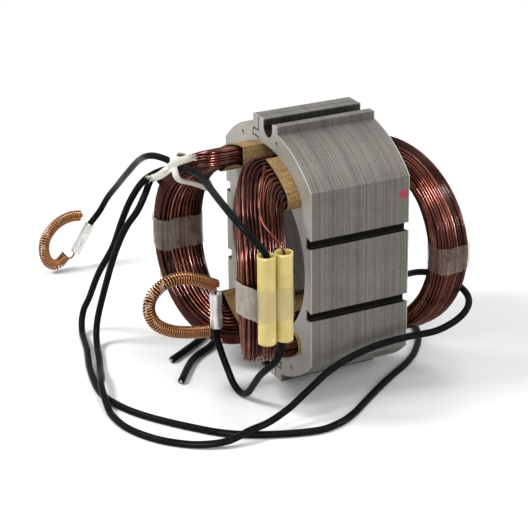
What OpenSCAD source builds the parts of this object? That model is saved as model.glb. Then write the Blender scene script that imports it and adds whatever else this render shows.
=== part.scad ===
// Wound stator of a two-pole series motor: two interlocked half cores of stacked laminations,
// two saddle coils in paper slot liners, taped splices, brush spring rings and flexible leads.
// Millimetres. The motor axis is Y, the origin is at mid stack, and the stator stands on its lower ribs.

/* [Laminated core] */
// Radial thickness of the yoke behind a slot
yoke_t = 7.2; // [5.6:0.2:9]
// Distance across the two side flats
across_flats = 68.8; // [67:0.2:72]
// Length of the stack
stack_len = 40; // [34:1:50]
// Radius of the armature bore
bore_r = 30; // [29:0.25:30.5]
// Radial thickness of a pole horn
horn_t = 2.6; // [2:0.1:3]
// Radius of the slot's outer wall
slot_r = 40.8; // [40:0.2:41.6]
// Angle of a slot's root above the mid line of the flat
slot_root = 44.5; // [42:0.5:47]
// Angle of a pole horn's tip
horn_tip = 62; // [56:1:66]
// Diameter of the stacking dimples
dimple_d = 2; // [1.5:0.1:2.5]
// Depth of a dimple, and height of the boss behind it
dimple_depth = 0.5; // [0.3:0.1:0.8]

/* [Ribs and seam] */
// Height of the ribs above the round outside
rib_h = 2; // [1.5:0.25:4]
// Width of the screw channel between the ribs
channel_w = 7; // [6:0.5:8]
// Depth of the screw channel, to the bottom of its round floor
channel_depth = 5.75; // [4.5:0.25:6]
// Offset of the screw channel from the motor axis
channel_x = 1.5; // [0:0.5:3]
// Width of the rib on the near side of the channel
rib_near_w = 3.5; // [3:0.25:4.5]
// Width of the rib between the channel and the seam
rib_mid_w = 4.1; // [3.5:0.1:5]
// Width of the rib on the far side of the seam
rib_far_w = 4.2; // [3.5:0.1:5]
// Length of the tongue that locks the two halves
tongue_len = 4.1; // [3:0.1:5]
// Height of the tongue
tongue_h = 2.6; // [2:0.1:3.2]
// Undercut of the tongue's barb
tongue_barb = 0.6; // [0.2:0.1:0.8]

/* [Side grooves] */
// Height of each groove above or below the mid line
groove_z = 14; // [11:0.5:17]
// Width of a groove at its mouth
groove_mouth = 3.2; // [2.5:0.1:4]
// Width of a groove at its floor
groove_floor = 4.4; // [4:0.1:5]
// Depth of a groove
groove_depth = 3.2; // [2:0.1:3.4]

/* [Slot liners] */
// Thickness of the liner paper
liner_t = 0.4; // [0.2:0.05:0.5]
// Angle at which the near coil's open liners end
liner_end_near = 76; // [70:0.5:84]
// Angle at which the far coil's liners are folded shut
liner_end = 86.5; // [84:0.5:88]
// Reach of the near coil's upper liner past the front face
liner_front_right = 5; // [3:0.5:6]
// Reach of the near coil's lower liner past the front face
liner_front_low = 1; // [0.5:0.5:5]
// Reach of the far coil's liners past the front face
liner_front_left = 8; // [6:0.5:9]
// Reach of all liners past the back face
liner_back = 4; // [3:0.5:7]

/* [Coils] */
// Distance from the front face to the near coil's inner turns
window_front_right = 10.5; // [8:0.5:12]
// Distance from the front face to the near coil's outer turns
reach_front_right = 28; // [26:0.5:32]
// Distance from the front face to the far coil's inner turns
window_front_left = 11.5; // [10.5:0.5:13]
// Distance from the front face to the far coil's outer turns
reach_front_left = 29.5; // [27:0.5:32]
// Distance from the back face to both coils' inner turns
window_back = 9.5; // [8:0.5:12]
// Distance from the back face to both coils' outer turns
reach_back = 23.2; // [20:0.1:26]
// Inner radius of the end turns, clear of the armature
turns_r0 = 30.8; // [30.6:0.1:32]
// Outer radius of the front end turns
turns_r1_front = 39.5; // [38:0.5:41]
// Outer radius of the back end turns
turns_r1_back = 41; // [40:0.5:43]
// Rows of wire on each broad face of a coil
wire_rows = 11; // [6:1:14]
// Depth of the grooves between the rows
row_depth = 0.5; // [0.2:0.05:0.7]

/* [Tapes and splices] */
// Height of the front tape bands
tape_w = 13; // [9:0.5:15]
// Height of the back tape bands
tape_back_w = 11; // [8:0.5:15]
// Thickness of a tape band
tape_t = 0.3; // [0.2:0.05:0.5]
// Outer diameter of a splice sleeve
sleeve_d = 6.5; // [5.6:0.1:7]
// Wall of a splice sleeve
sleeve_wall = 0.6; // [0.4:0.05:0.75]
// Length of a splice sleeve
sleeve_len = 33; // [28:1:36]
// Diameter of a crimp barrel
barrel_d = 4.4; // [3.6:0.1:4.4]
// Length of a crimp barrel
barrel_len = 10; // [8:0.5:10]

/* [Leads and brush rings] */
// Outer diameter of a lead
lead_d = 2.6; // [2.2:0.1:2.8]
// Diameter of a coil's bare end wire
wire_d = 1.15; // [0.9:0.05:1.3]
// Outer diameter of a brush ring's spring
spring_d = 4.8; // [4:0.1:5]
// Diameter of the spring wire
spring_wire = 0.8; // [0.5:0.05:0.9]
// Diameter of a brush ring's ferrule
ferrule_d = 4.6; // [4.2:0.1:5]
// Length of a ferrule
ferrule_len = 14; // [12:0.5:14.5]
// Thickness of the lacing cord
lacing_d = 1.8; // [1.4:0.1:2]

/* [Hidden] */
$fn = 96;

// Named clearances
seam_gap = 0.28;
liner_gap = 0.05;
root_step = 0.15;
root_ease = 0.1;
wire_gap = 0.3;
tape_gap = 0.25;
sleeve_gap = 0.25;
bore_gap = 0.15;
cut_past = 1;
cut_past_angle = 3;

// Sizes that follow from the driving ones
core_r = slot_r + yoke_t;
rib_top = core_r + rib_h;
far = 3 * core_r;
flat_x = across_flats / 2;
face_y = stack_len / 2;
slot_r0 = bore_r + horn_t;
slot_mid = (slot_r0 + slot_r) / 2;
slot_half_w = (slot_r - slot_r0) / 2;
root_a = slot_root + asin(slot_half_w / slot_mid);
yoke_mid = (slot_r + core_r) / 2;
rib_near_x = channel_x + channel_w / 2 + rib_near_w;
seam_x = channel_x - channel_w / 2 - rib_mid_w;
rib_far_x = seam_x - rib_far_w;
rib_root = slot_r + cut_past;
tongue_drop = 1.1;
tongue_z = yoke_mid - tongue_drop;
dimple_angles = [79, -64.5];

// The wire bundle inside its liner
liner_wall = liner_gap + liner_t + wire_gap;
wire_r0 = slot_r0 + liner_wall;
wire_r1 = slot_r - liner_wall;
wire_a0 = slot_root + asin((liner_wall + root_step + root_ease * slot_half_w) / slot_mid);
mouth_angle = 2.5;
wire_a1 = liner_end - mouth_angle;
liner_lead = 0.6;
fold_angle = asin(liner_t / slot_mid);

// An end of a coil: window, reach, straight length, upper bend, lower bend, outer radius
end_front_right =
    [window_front_right, reach_front_right, liner_front_right + liner_lead, 1.9, 1.7, turns_r1_front];
end_front_left =
    [window_front_left, reach_front_left, liner_front_left + liner_lead, 3, 2.2, turns_r1_front];
end_back = [window_back, reach_back, liner_back + liner_lead, 1.65, 1.65, turns_r1_back];
section_power = 4;
bend_step = 10;
turn_corner = 2;
row_edge = 0.06;
edge_w = 0.015;

// Splices lie side by side on the outer face of each front end turn
sleeve_x = turns_r1_front + sleeve_gap + sleeve_d / 2;
splice_gap = 0.2;
sleeve_pitch = sleeve_d + splice_gap;
sleeve_right_z = 1.5;
sleeve_left_z = -6;
splice_reach = 18.25;
splice_y = -face_y - splice_reach;
splice_inner = splice_y + sleeve_pitch / 2;
splice_outer = splice_y - sleeve_pitch / 2;

// Brush rings, each in an upright plane along the motor axis: the spring's middle line, then its end wire,
// as distances ahead of the front face and heights
ring_left_x = -126;
ring_left = [
    [26.2, -26.2], [31.5, -26], [37.5, -28.4], [42.2, -33.6],
    [43.3, -39.6], [41.6, -44.8], [37.8, -46.4], [33.8, -43.2]
];
ring_left_end = [[34.4, -43.8], [32.4, -44.8], [30.8, -44.3], [29.7, -42.6]];
ferrule_left_top = [22.1, -30.8];
ferrule_left_tilt = -32.8;
ring_front_x = 0;
ring_front = [
    [21.2, -10.2], [27.4, -7], [34, -4.6], [41, -5.2], [46.3, -9],
    [47.9, -14.4], [45.6, -20.2], [40.2, -24.2], [33, -26.6], [24.6, -28]
];
ring_front_end = [[22.4, -9.8], [21.3, -10.4], [21.3, -12.6]];
ferrule_front_top = [21.3, -13];
ferrule_front_tilt = 0;
ring_turn = 2.1;
ferrule_bore_depth = 4;
ferrule_edge = 0.3;
crimp_depth = 0.4;

// A lead ends short of the bottom of the ferrule's bore, and runs straight into it
lead_stop = 0.3;
lead_in = ferrule_bore_depth - lead_stop;
lead_straight_left = 0.1;
lead_straight_front = 4;

// Places by their distance from the front face, from the back face, or as a share of the half stack
function ahead(x, d, z) = [x, -face_y - d, z];
function behind(x, d, z) = [x, face_y + d, z];
function beside(x, t, z) = [x, t * face_y, z];

// Three places on a line, from a splice's barrel to the end of its sleeve
function from_splice(side, y, z0, up) =
    [for (z = [barrel_len / 2, (barrel_len + sleeve_len) / 4, sleeve_len / 2])
        [side * sleeve_x, y, z0 + up * z]];
function reversed(p) = [for (i = [len(p) - 1:-1:0]) p[i]];

// Three places on a ferrule's axis, between two depths below its top
function on_ferrule(x, top, tilt, k0, k1) =
    [for (k = [k0, (k0 + k1) / 2, k1]) ahead(x, top[0] - k * sin(tilt), top[1] - k * cos(tilt))];

// Routes of the leads, from the splice to the far end; a lead that rests on the bench is at height lie
lead_sides = 8;
lie = lead_d / 2 - rib_top;
route_brush_left = concat(
    from_splice(-1, splice_inner, sleeve_left_z, 1), [
        ahead(-43.2, 15.2, 17), ahead(-45.6, 17.6, 22.2), ahead(-50.6, 21.2, 23.8),
        ahead(-57.5, 23, 22), ahead(-73.1, 20.5, 14.4), ahead(-90.2, 18.4, 3.4),
        ahead(-109.1, 15.6, -8.8), ahead(-120.2, 15.8, -17.9), ahead(-124.8, 18, -25.4)
    ],
    on_ferrule(ring_left_x, ferrule_left_top, ferrule_left_tilt, -lead_straight_left, lead_in));
route_brush_front = concat(
    from_splice(1, splice_inner, sleeve_right_z, -1), [
        ahead(40.5, 16.5, -23.5), ahead(36, 18, -28.8), ahead(30.5, 18.4, -34), ahead(25, 18.3, -40),
        ahead(19.5, 18.2, lie + 2.7), ahead(14, 18.4, lie + 0.2), ahead(9, 18.9, lie + 1.7),
        ahead(5.5, 19.6, -42.5), ahead(2.5, 20.5, -37)
    ],
    on_ferrule(ring_front_x, ferrule_front_top, ferrule_front_tilt,
        ferrule_len + lead_straight_front, ferrule_len - lead_in));
route_supply_right = concat(
    from_splice(1, splice_outer, sleeve_right_z, 1), [
        ahead(42, 25.2, 23.5), ahead(40, 28.6, 28), ahead(34, 30.4, 31.5), ahead(22, 29.2, 32.5),
        ahead(8, 26.6, 32.2), ahead(-2, 25.6, 33), ahead(-9, 26.6, 33), ahead(-16, 28.4, 31.5),
        ahead(-25, 31.3, 28), ahead(-32, 35, 22.5), ahead(-38, 38, 13.5), ahead(-43, 40, 3.5),
        ahead(-49, 41.8, -9), ahead(-56, 45.5, -22), ahead(-62.6, 47.4, -34.5),
        ahead(-65.6, 48.8, -40.6), ahead(-65, 50.2, lie + 3.3), ahead(-60.8, 51.7, lie + 0.3),
        ahead(-54, 53.4, lie), ahead(-46, 55.5, lie), ahead(-30, 60.5, lie), ahead(-12, 64, lie),
        ahead(0, 62.5, lie), ahead(13, 57, lie), ahead(28, 46.5, lie), ahead(40, 35.5, lie),
        ahead(48, 21.5, lie), ahead(52.5, 7, lie), beside(51.5, -0.9, lie), beside(47.5, -0.475, lie),
        beside(39, 0.1, lie), beside(29, 0.8, lie), behind(20.5, 9, lie), behind(12, 18, lie),
        behind(0, 26, lie), behind(-16, 30, lie), behind(-32, 27, lie), behind(-46, 17, lie),
        behind(-53, 2, lie), beside(-54, 0.2, lie), beside(-48, -0.65, lie), ahead(-38, 2, lie),
        ahead(-28, 11, lie), ahead(-20, 22.5, lie), ahead(-5, 34, lie)
    ]);
route_supply_left = concat(
    from_splice(-1, splice_outer, sleeve_left_z, 1), [
        ahead(-42.4, 23.2, 15.8), ahead(-39.6, 26.8, 20), ahead(-35.8, 30.8, 20.4),
        ahead(-32.9, 34.4, 16.4), ahead(-33, 37.6, 10.6), ahead(-36.4, 40.6, 4), ahead(-40.4, 42.6, -4),
        ahead(-45.2, 44.2, -14.5), ahead(-50.5, 46.8, -31), ahead(-52.6, 48.2, -40),
        ahead(-51.4, 49.4, lie + 3.3), ahead(-46.8, 51, lie + 0.3), ahead(-39, 53.4, lie),
        ahead(-30, 56.5, lie), ahead(-18, 60.5, lie + 2.3), ahead(-11, 63.5, lie + 3.1),
        ahead(-3, 65.5, lie + 2.3), ahead(8, 67, lie), ahead(20, 65.5, lie), ahead(32, 59.5, lie),
        ahead(41, 50.5, lie), ahead(46.5, 40, lie + 1.1), ahead(46.5, 30.5, lie + 3.1),
        ahead(44.5, 22, lie + 3.3), ahead(42.5, 13, -43), ahead(41.5, 5, -38.5),
        beside(40, -0.775, -33.5), beside(38.5, -0.275, -30.8), beside(38, 0.3, -28.8),
        beside(38.5, 0.925, -28), behind(40, 9, -27.5), behind(42, 16.5, -24), behind(41, 22, -20.5),
        behind(35.5, 25.6, -18.5), behind(26, 26.6, -17.5), behind(15, 26.4, -18.5),
        behind(4, 25.6, -21), behind(-9, 26, -27), behind(-24, 28.5, -36), behind(-40, 29, -44.5),
        behind(-54, 23, lie), behind(-62, 8, lie), beside(-63.5, 0.4, lie), beside(-58, -0.55, lie),
        ahead(-46, 2.5, lie), ahead(-36, 11, lie), ahead(-23, 30, lie)
    ]);

// Coil ends: places on the bundle's outer side, then from it to a sleeve's end
tail_d = 1 + (wire_d / 2 + wire_gap) / (turns_r1_front - turns_r0);
function tail(e, on_coil, y, z0, up, bend) = concat(
    [for (q = on_coil) flip_y(end_turn(e, q[0], tail_d, q[1]))],
    [for (q = bend) [sleeve_x - q[0], y + q[1], z0 + up * (sleeve_len / 2 + q[2])]],
    reversed(from_splice(1, y, z0, up)));
tail_bend_upper = [[5.7, -2.3, 5.2], [1.8, -0.9, 2.6]];
tail_bend_lower = [[7.4, 0.6, 8.6], [3, 0.1, 6], [0.4, 0, 3]];
tail_bend_left = [[6, 0.4, 4.5], [2.5, 0.1, 3.4], [0.4, 0, 1.6]];
tail_right_upper = tail(end_front_right, [[0.66, 6], [0.55, 25], [0.58, 41.5], [0.58, 53]],
    splice_inner, sleeve_right_z, 1, tail_bend_upper);
tail_right_lower = tail(end_front_right, [[0.75, 126]], splice_outer, sleeve_right_z, -1,
    tail_bend_lower);
tail_left_inner = tail(end_front_left, [[0.26, 136]], splice_inner, sleeve_left_z, -1, tail_bend_left);
tail_left_outer = tail(end_front_left, [[0.6, 126]], splice_outer, sleeve_left_z, -1, tail_bend_left);

// The lacing cord's loop round the far coil's upper bend, and its free ends from the loop's outer side
tie_bend = 50;
tie_w = [-0.1, 1.24];
tie_d = [-0.16, 1.17];
tie_ends = [
    [4.4, 4.6, 4.4], [0.9, 0.4, 2.2], [-2, -1.6, -1], [-5.1, -3.6, -4], [-8.6, -4.8, -6]
];
tie_strap = [3.2, 1];

// Shared functions
function mix(a, b, t) = a + (b - a) * t;
function unit(v) = v / norm(v);

// Point of a smooth curve between route points i and i + 1
function curve(p, i, t) =
    let (n = len(p) - 1, a = p[max(i - 1, 0)], b = p[i], c = p[i + 1], d = p[min(i + 2, n)])
    b + 0.5 * t * (c - a + t * (2 * a - 5 * b + 4 * c - d + t * (3 * (b - c) + d - a)));

// Smooth path through a route, with a number of steps between its points
function smooth(p, steps) =
    concat([for (i = [0:len(p) - 2], k = [0:steps - 1]) curve(p, i, k / steps)], [p[len(p) - 1]]);

// Direction of a path at point i
function heading(p, i) = unit(p[min(i + 1, len(p) - 1)] - p[max(i - 1, 0)]);

// Part of v square to t
function square_to(v, t) = unit(v - t * (v * t));

// Side vectors carried along a path without twist
function carried(p, first) =
    [for (i = 0, s = square_to(first, heading(p, 0)); i < len(p);
          i = i + 1, s = i < len(p) ? square_to(s, heading(p, i)) : s) s];

// Rings of points round a path: a profile of [side, other] offsets, scaled at each step
function rings(p, profile, scales, first) =
    let (side = carried(p, first))
    [for (i = [0:len(p) - 1])
        let (t = heading(p, i), other = cross(t, side[i]))
        for (q = profile) p[i] + scales[i] * (q[0] * side[i] + q[1] * other)];

// Faces of a tube of n rings with m points each, with its two ends closed
function tube_faces(n, m) = concat(
    [[for (j = [0:m - 1]) j]],
    [for (i = [0:n - 2], j = [0:m - 1])
        [i * m + j, (i + 1) * m + j, (i + 1) * m + (j + 1) % m, i * m + (j + 1) % m]],
    [[for (j = [m - 1:-1:0]) (n - 1) * m + j]]);

// Faces of a closed loop of n rings with m points each
function loop_faces(n, m) =
    [for (i = [0:n - 1], j = [0:m - 1])
        let (k = (i + 1) % n)
        [i * m + j, k * m + j, k * m + (j + 1) % m, i * m + (j + 1) % m]];

function round_profile(r, sides) = [for (j = [0:sides - 1]) r * [cos(360 * j / sides), sin(360 * j / sides)]];

// Solid along a path, with a profile and a scale at each step
module swept(path, profile, scales, first = [0.3, 0.2, 1]) {
    polyhedron(rings(path, profile, scales, first), tube_faces(len(path), len(profile)), convexity = 8);
}

// Round cord on a smooth route, lifted where it would sink below the resting surface
module cord(route, d, steps, sides) {
    path = [for (p = smooth(route, steps)) [p[0], p[1], max(p[2], d / 2 - rib_top)]];
    swept(path, round_profile(d / 2, sides), [for (p = path) 1]);
}

// Flat drawing, with X across and Y up, made solid along the motor axis
module along_axis(length) {
    rotate([90, 0, 0])
        linear_extrude(height = length, center = true)
            children();
}

module wedge(a0, a1) {
    polygon([[0, 0], for (k = [0:4]) far * [cos(mix(a0, a1, k / 4)), sin(mix(a0, a1, k / 4))]]);
}

// One half of a slot, from its round root to an end angle, with its walls moved in by an inset
module slot_half(inset, end_angle) {
    intersection() {
        difference() {
            circle(slot_r - inset);
            circle(slot_r0 + inset);
        }
        wedge(root_a, end_angle);
    }
    rotate(root_a)
        translate([slot_mid, 0])
            circle(slot_half_w - root_step - inset);
}

// Everything that is punched out of the upper half of a lamination
module punched() {
    for (m = [0, 1])
        mirror([m, 0])
            slot_half(0, 90 + cut_past_angle);
    intersection() {
        difference() {
            circle(slot_r0 + cut_past);
            circle(bore_r - cut_past);
        }
        wedge(horn_tip, 180 - horn_tip);
    }
    translate([channel_x, rib_top - channel_depth + channel_w / 2]) {
        circle(d = channel_w);
        translate([-channel_w / 2, 0])
            square([channel_w, channel_depth]);
    }
}

module side_groove() {
    polygon([
        [flat_x - groove_depth, -groove_floor / 2], [flat_x - groove_depth, groove_floor / 2],
        [flat_x, groove_mouth / 2], [flat_x + cut_past, groove_mouth / 2],
        [flat_x + cut_past, -groove_mouth / 2], [flat_x, -groove_mouth / 2]
    ]);
}

module lamination() {
    difference() {
        union() {
            intersection() {
                circle(core_r);
                square([across_flats, 2 * core_r], center = true);
            }
            for (a = [0, 180])
                rotate(a)
                    translate([rib_far_x, rib_root])
                        square([rib_near_x - rib_far_x, rib_top - rib_root]);
        }
        circle(bore_r);
        for (a = [0, 180])
            rotate(a) {
                punched();
                for (z = [-groove_z, groove_z])
                    translate([0, z])
                        side_groove();
            }
    }
}

// Upper seam of the near half, from the rib top down to the slot, with its barbed tongue
seam = [
    [seam_x, far], [seam_x, tongue_z + tongue_h / 2],
    [seam_x - tongue_len, tongue_z + tongue_h / 2],
    [seam_x - tongue_len - tongue_barb, tongue_z - tongue_h / 2],
    [seam_x - tongue_barb / 2, tongue_z - tongue_h / 2], [seam_x - tongue_barb / 2, slot_r0]
];

module near_side() {
    last = len(seam) - 1;
    polygon(concat(
        [for (p = seam) p + [seam_gap / 2, 0]],
        [for (k = [last:-1:0]) [seam_gap / 2, 0] - seam[k]],
        [[far, -far], [far, far]]
    ));
}

module half_core() {
    difference() {
        union() {
            along_axis(stack_len)
                intersection() {
                    lamination();
                    near_side();
                }
            for (a = dimple_angles)
                translate([yoke_mid * cos(a), face_y - dimple_depth, yoke_mid * sin(a)])
                    rotate([-90, 0, 0])
                        cylinder(d = dimple_d, h = 2 * dimple_depth);
        }
        for (a = dimple_angles)
            translate([yoke_mid * cos(a), -face_y + dimple_depth, yoke_mid * sin(a)])
                rotate([90, 0, 0])
                    cylinder(d = dimple_d, h = 2 * dimple_depth);
    }
}

module core_half_right() {
    color([0.62, 0.61, 0.58])
        half_core();
}

module core_half_left() {
    color([0.62, 0.61, 0.58])
        rotate([0, 180, 0])
            half_core();
}

// Folded paper in the upper slot of the near coil, round a cavity for the wire
module liner(front, end_angle, cavity_end) {
    length = stack_len + front + liner_back;
    color([0.74, 0.58, 0.36])
        translate([0, (liner_back - front) / 2, 0])
            along_axis(length)
                difference() {
                    slot_half(liner_gap, end_angle);
                    slot_half(liner_gap + liner_t, cavity_end);
                }
}

module liner_top_right() {
    liner(liner_front_right, liner_end_near, liner_end_near + cut_past_angle);
}

module liner_bottom_right() {
    mirror([0, 0, 1])
        liner(liner_front_low, liner_end_near, liner_end_near + cut_past_angle);
}

module liner_top_left() {
    mirror([1, 0, 0])
        liner(liner_front_left, liner_end, liner_end - fold_angle);
}

module liner_bottom_left() {
    rotate([0, 180, 0])
        liner(liner_front_left, liner_end_near, liner_end_near + cut_past_angle);
}

// Place in an end turn: w runs from the inner to the outer turns, d from the bore side outwards,
// and b from 0 at the upper slot to 180 at the lower one, on a rounded square bend
function end_turn(e, w, d, b) =
    let (power = cos(b) >= 0 ? e[3] : e[4],
         k = pow(pow(abs(cos(b)), power) + pow(sin(b), power), -1 / power),
         a = mix(wire_a0, wire_a1, w) * k * cos(b),
         out = k * sin(b),
         r = mix(mix(wire_r0, wire_r1, d), mix(turns_r0, e[5], d), out * out))
    [r * cos(a), face_y + e[2] + (mix(e[0], e[1], w) - e[2]) * out, r * sin(a)];

function flip_y(p) = [p[0], -p[1], p[2]];

// Outline of the wire bundle in w and d, with a groove between the rows of wire
function crown(w) = 0.5 * pow(1 - pow(abs(2 * w - 1), section_power), 1 / section_power);
row_groove = 1 - 2 * row_depth / (turns_r1_front - turns_r0);
function row_w(i) = mix(row_edge, 1 - row_edge, i / (2 * wire_rows));
function row_d(i) = crown(row_w(i)) * (i % 2 == 0 ? row_groove : 1);
bundle = concat(
    [for (i = [0:2 * wire_rows]) [row_w(i), 0.5 + row_d(i)]],
    [[1 - edge_w, 0.5 + crown(edge_w)], [1, 0.5], [1 - edge_w, 0.5 - crown(edge_w)]],
    [for (i = [2 * wire_rows:-1:0]) [row_w(i), 0.5 - row_d(i)]],
    [[edge_w, 0.5 - crown(edge_w)], [0, 0.5], [edge_w, 0.5 + crown(edge_w)]]
);

module coil(front) {
    stations = concat(
        [for (b = [0:bend_step:180]) [for (q = bundle) flip_y(end_turn(front, q[0], q[1], b))]],
        [for (b = [180:-bend_step:0]) [for (q = bundle) end_turn(end_back, q[0], q[1], b)]]
    );
    color([0.36, 0.17, 0.13])
        polyhedron([for (s = stations) each s], loop_faces(len(stations), len(bundle)), convexity = 10);
}

module coil_right() {
    coil(end_front_right);
}

module coil_left() {
    mirror([1, 0, 0])
        coil(end_front_left);
}

// Plan outline round an end turn at mid height, grown outwards
module turn_plan(e, side, width, grow) {
    dip = turns_r0 - sqrt(turns_r0 * turns_r0 - width * width / 4);
    x0 = turns_r0 - dip;
    y0 = side * (face_y + e[0]);
    y1 = side * (face_y + e[1]);
    for (x = [x0 + turn_corner, e[5] - turn_corner],
         y = [min(y0, y1) + turn_corner, max(y0, y1) - turn_corner])
        translate([x, y])
            circle(turn_corner + grow);
}

module sleeve_plan(grow) {
    for (k = [-0.5, 0.5])
        translate([sleeve_x, splice_y + k * sleeve_pitch])
            circle(d = sleeve_d + 2 * grow);
}

// Band of tape round a back end turn
module tape_back() {
    color([0.5, 0.43, 0.38])
        linear_extrude(height = tape_back_w, center = true)
            difference() {
                hull()
                    turn_plan(end_back, 1, tape_back_w, tape_gap + tape_t);
                hull()
                    turn_plan(end_back, 1, tape_back_w, tape_gap);
            }
}

// Band of tape round a front end turn and the two sleeves that lie on it
module tape_front(e) {
    color([0.75, 0.7, 0.64])
        linear_extrude(height = tape_w, center = true)
            difference() {
                hull() {
                    turn_plan(e, -1, tape_w, tape_gap + tape_t);
                    sleeve_plan(tape_gap + tape_t);
                }
                hull() {
                    turn_plan(e, -1, tape_w, tape_gap);
                    sleeve_plan(tape_gap);
                }
            }
}

module tape_front_right() {
    tape_front(end_front_right);
}

module tape_back_right() {
    tape_back();
}

module tape_front_left() {
    mirror([1, 0, 0])
        tape_front(end_front_left);
}

module tape_back_left() {
    mirror([1, 0, 0])
        tape_back();
}

// Insulating sleeve over a splice; k is -1 for the outer and 1 for the inner one
module sleeve(k, z) {
    color([0.9, 0.82, 0.52])
        translate([sleeve_x, splice_y + k * sleeve_pitch / 2, z])
            difference() {
                cylinder(d = sleeve_d, h = sleeve_len, center = true);
                cylinder(d = sleeve_d - 2 * sleeve_wall, h = sleeve_len + cut_past, center = true);
            }
}

// Crimp barrel inside a sleeve, waisted where it is crimped
module barrel(k, z) {
    waist = barrel_d / 2 - crimp_depth;
    color([0.8, 0.8, 0.78])
        translate([sleeve_x, splice_y + k * sleeve_pitch / 2, z - barrel_len / 2])
            rotate_extrude()
                polygon([
                    [0, 0], [barrel_d / 2, 0],
                    [barrel_d / 2, barrel_len / 5], [waist, barrel_len * 0.35],
                    [waist, barrel_len * 0.65], [barrel_d / 2, barrel_len * 4 / 5],
                    [barrel_d / 2, barrel_len], [0, barrel_len]
                ]);
}

module sleeve_right_outer() {
    sleeve(-1, sleeve_right_z);
}

module sleeve_right_inner() {
    sleeve(1, sleeve_right_z);
}

module sleeve_left_outer() {
    mirror([1, 0, 0])
        sleeve(-1, sleeve_left_z);
}

module sleeve_left_inner() {
    mirror([1, 0, 0])
        sleeve(1, sleeve_left_z);
}

module barrel_right_outer() {
    barrel(-1, sleeve_right_z);
}

module barrel_right_inner() {
    barrel(1, sleeve_right_z);
}

module barrel_left_outer() {
    mirror([1, 0, 0])
        barrel(-1, sleeve_left_z);
}

module barrel_left_inner() {
    mirror([1, 0, 0])
        barrel(1, sleeve_left_z);
}

// Start and finish of a coil's wire, from its outer face into the sleeves
module tail_wire(route) {
    color([0.45, 0.22, 0.15])
        cord(route, wire_d, 2, 6);
}

module tails_right() {
    tail_wire(tail_right_upper);
    tail_wire(tail_right_lower);
}

module tails_left() {
    mirror([1, 0, 0]) {
        tail_wire(tail_left_inner);
        tail_wire(tail_left_outer);
    }
}

// Lacing cord: a loop on the bundle's outline, a knot and a flat strap for its free ends
module lacing_tie() {
    loop = [for (a = [0:15:345])
        let (w = mix(tie_w[0], tie_w[1], 0.5 + 0.5 * sign(cos(a)) * sqrt(abs(cos(a)))),
             d = mix(tie_d[0], tie_d[1], 0.5 + 0.5 * sign(sin(a)) * sqrt(abs(sin(a)))),
             p = end_turn(end_front_left, w, d, tie_bend))
        [-p[0], -p[1], p[2]]];
    middle = mix(loop[0], loop[12], 0.5);
    count = len(loop);
    color([0.92, 0.9, 0.84]) {
        polyhedron([for (i = [0:count - 1])
                let (t = unit(loop[(i + 1) % count] - loop[(i + count - 1) % count]),
                     s = square_to(loop[i] - middle, t),
                     o = cross(t, s))
                for (q = round_profile(lacing_d / 2, 6)) loop[i] + q[0] * s + q[1] * o],
            loop_faces(count, 6), convexity = 6);
        translate(loop[0] + tie_ends[2])
            sphere(r = lacing_d, $fn = 24);
        ends = smooth([for (p = tie_ends) loop[0] + p], 2);
        swept(ends, [for (c = [[1, 1], [-1, 1], [-1, -1], [1, -1]])
                [c[0] * tie_strap[0] / 2, c[1] * tie_strap[1] / 2]], [for (p = ends) 1], [0.4, 0.2, 1]);
    }
}

// Coil spring bent round in a plane across the motor axis, its turns shown as ridges,
// with its end wire led to its seat in the ferrule
module spring_ring(x, route, end, seat) {
    flat = smooth(route, 12);
    travel = [for (i = 0, s = 0; i < len(flat);
        s = s + (i + 1 < len(flat) ? norm(flat[i + 1] - flat[i]) : 0), i = i + 1) s];
    turns = round(travel[len(flat) - 1] / ring_turn);
    steps = 2 * turns;
    path = [for (k = [0:steps])
        let (s = k / steps * travel[len(flat) - 1],
             i = min(max([for (j = [0:len(flat) - 2]) if (travel[j] <= s) j]), len(flat) - 2),
             p = mix(flat[i], flat[i + 1], (s - travel[i]) / (travel[i + 1] - travel[i])))
        ahead(x, p[0], p[1])];
    valley = 1 - spring_wire / spring_d;
    color([0.74, 0.48, 0.27]) {
        swept(path, round_profile(spring_d / 2, 8), [for (k = [0:steps]) k % 2 == 0 ? valley : 1], [1, 0, 0]);
        cord(concat([for (p = end) ahead(x, p[0], p[1])], [seat]), spring_wire, 2, 6);
    }
}

// Crimped ferrule, hanging from its top by the tilt angle, bored at both ends for lead and spring wire
module ferrule(x, top, tilt) {
    dent = ferrule_d / 2 - crimp_depth;
    rim = ferrule_d / 2 - ferrule_edge;
    bore = lead_d / 2 + bore_gap;
    color([0.88, 0.88, 0.87])
        translate(ahead(x, top[0], top[1]))
            rotate([tilt, 0, 0])
                difference() {
                    rotate_extrude()
                        polygon([
                            [0, 0], [rim, 0], [ferrule_d / 2, -ferrule_edge],
                            [ferrule_d / 2, -ferrule_len * 0.3], [dent, -ferrule_len * 0.38],
                            [dent, -ferrule_len * 0.62], [ferrule_d / 2, -ferrule_len * 0.7],
                            [ferrule_d / 2, ferrule_edge - ferrule_len], [rim, -ferrule_len],
                            [0, -ferrule_len]
                        ]);
                    for (z = [-ferrule_bore_depth, -ferrule_len - cut_past])
                        translate([0, 0, z])
                            cylinder(r = bore, h = ferrule_bore_depth + cut_past);
                }
}

module spring_ring_left() {
    spring_ring(ring_left_x, ring_left, ring_left_end,
        on_ferrule(ring_left_x, ferrule_left_top, ferrule_left_tilt, ferrule_len - ferrule_bore_depth, 0)[0]);
}

module ferrule_left() {
    ferrule(ring_left_x, ferrule_left_top, ferrule_left_tilt);
}

module spring_ring_front() {
    spring_ring(ring_front_x, ring_front, ring_front_end,
        on_ferrule(ring_front_x, ferrule_front_top, ferrule_front_tilt, ferrule_bore_depth, 0)[0]);
}

module ferrule_front() {
    ferrule(ring_front_x, ferrule_front_top, ferrule_front_tilt);
}

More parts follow.
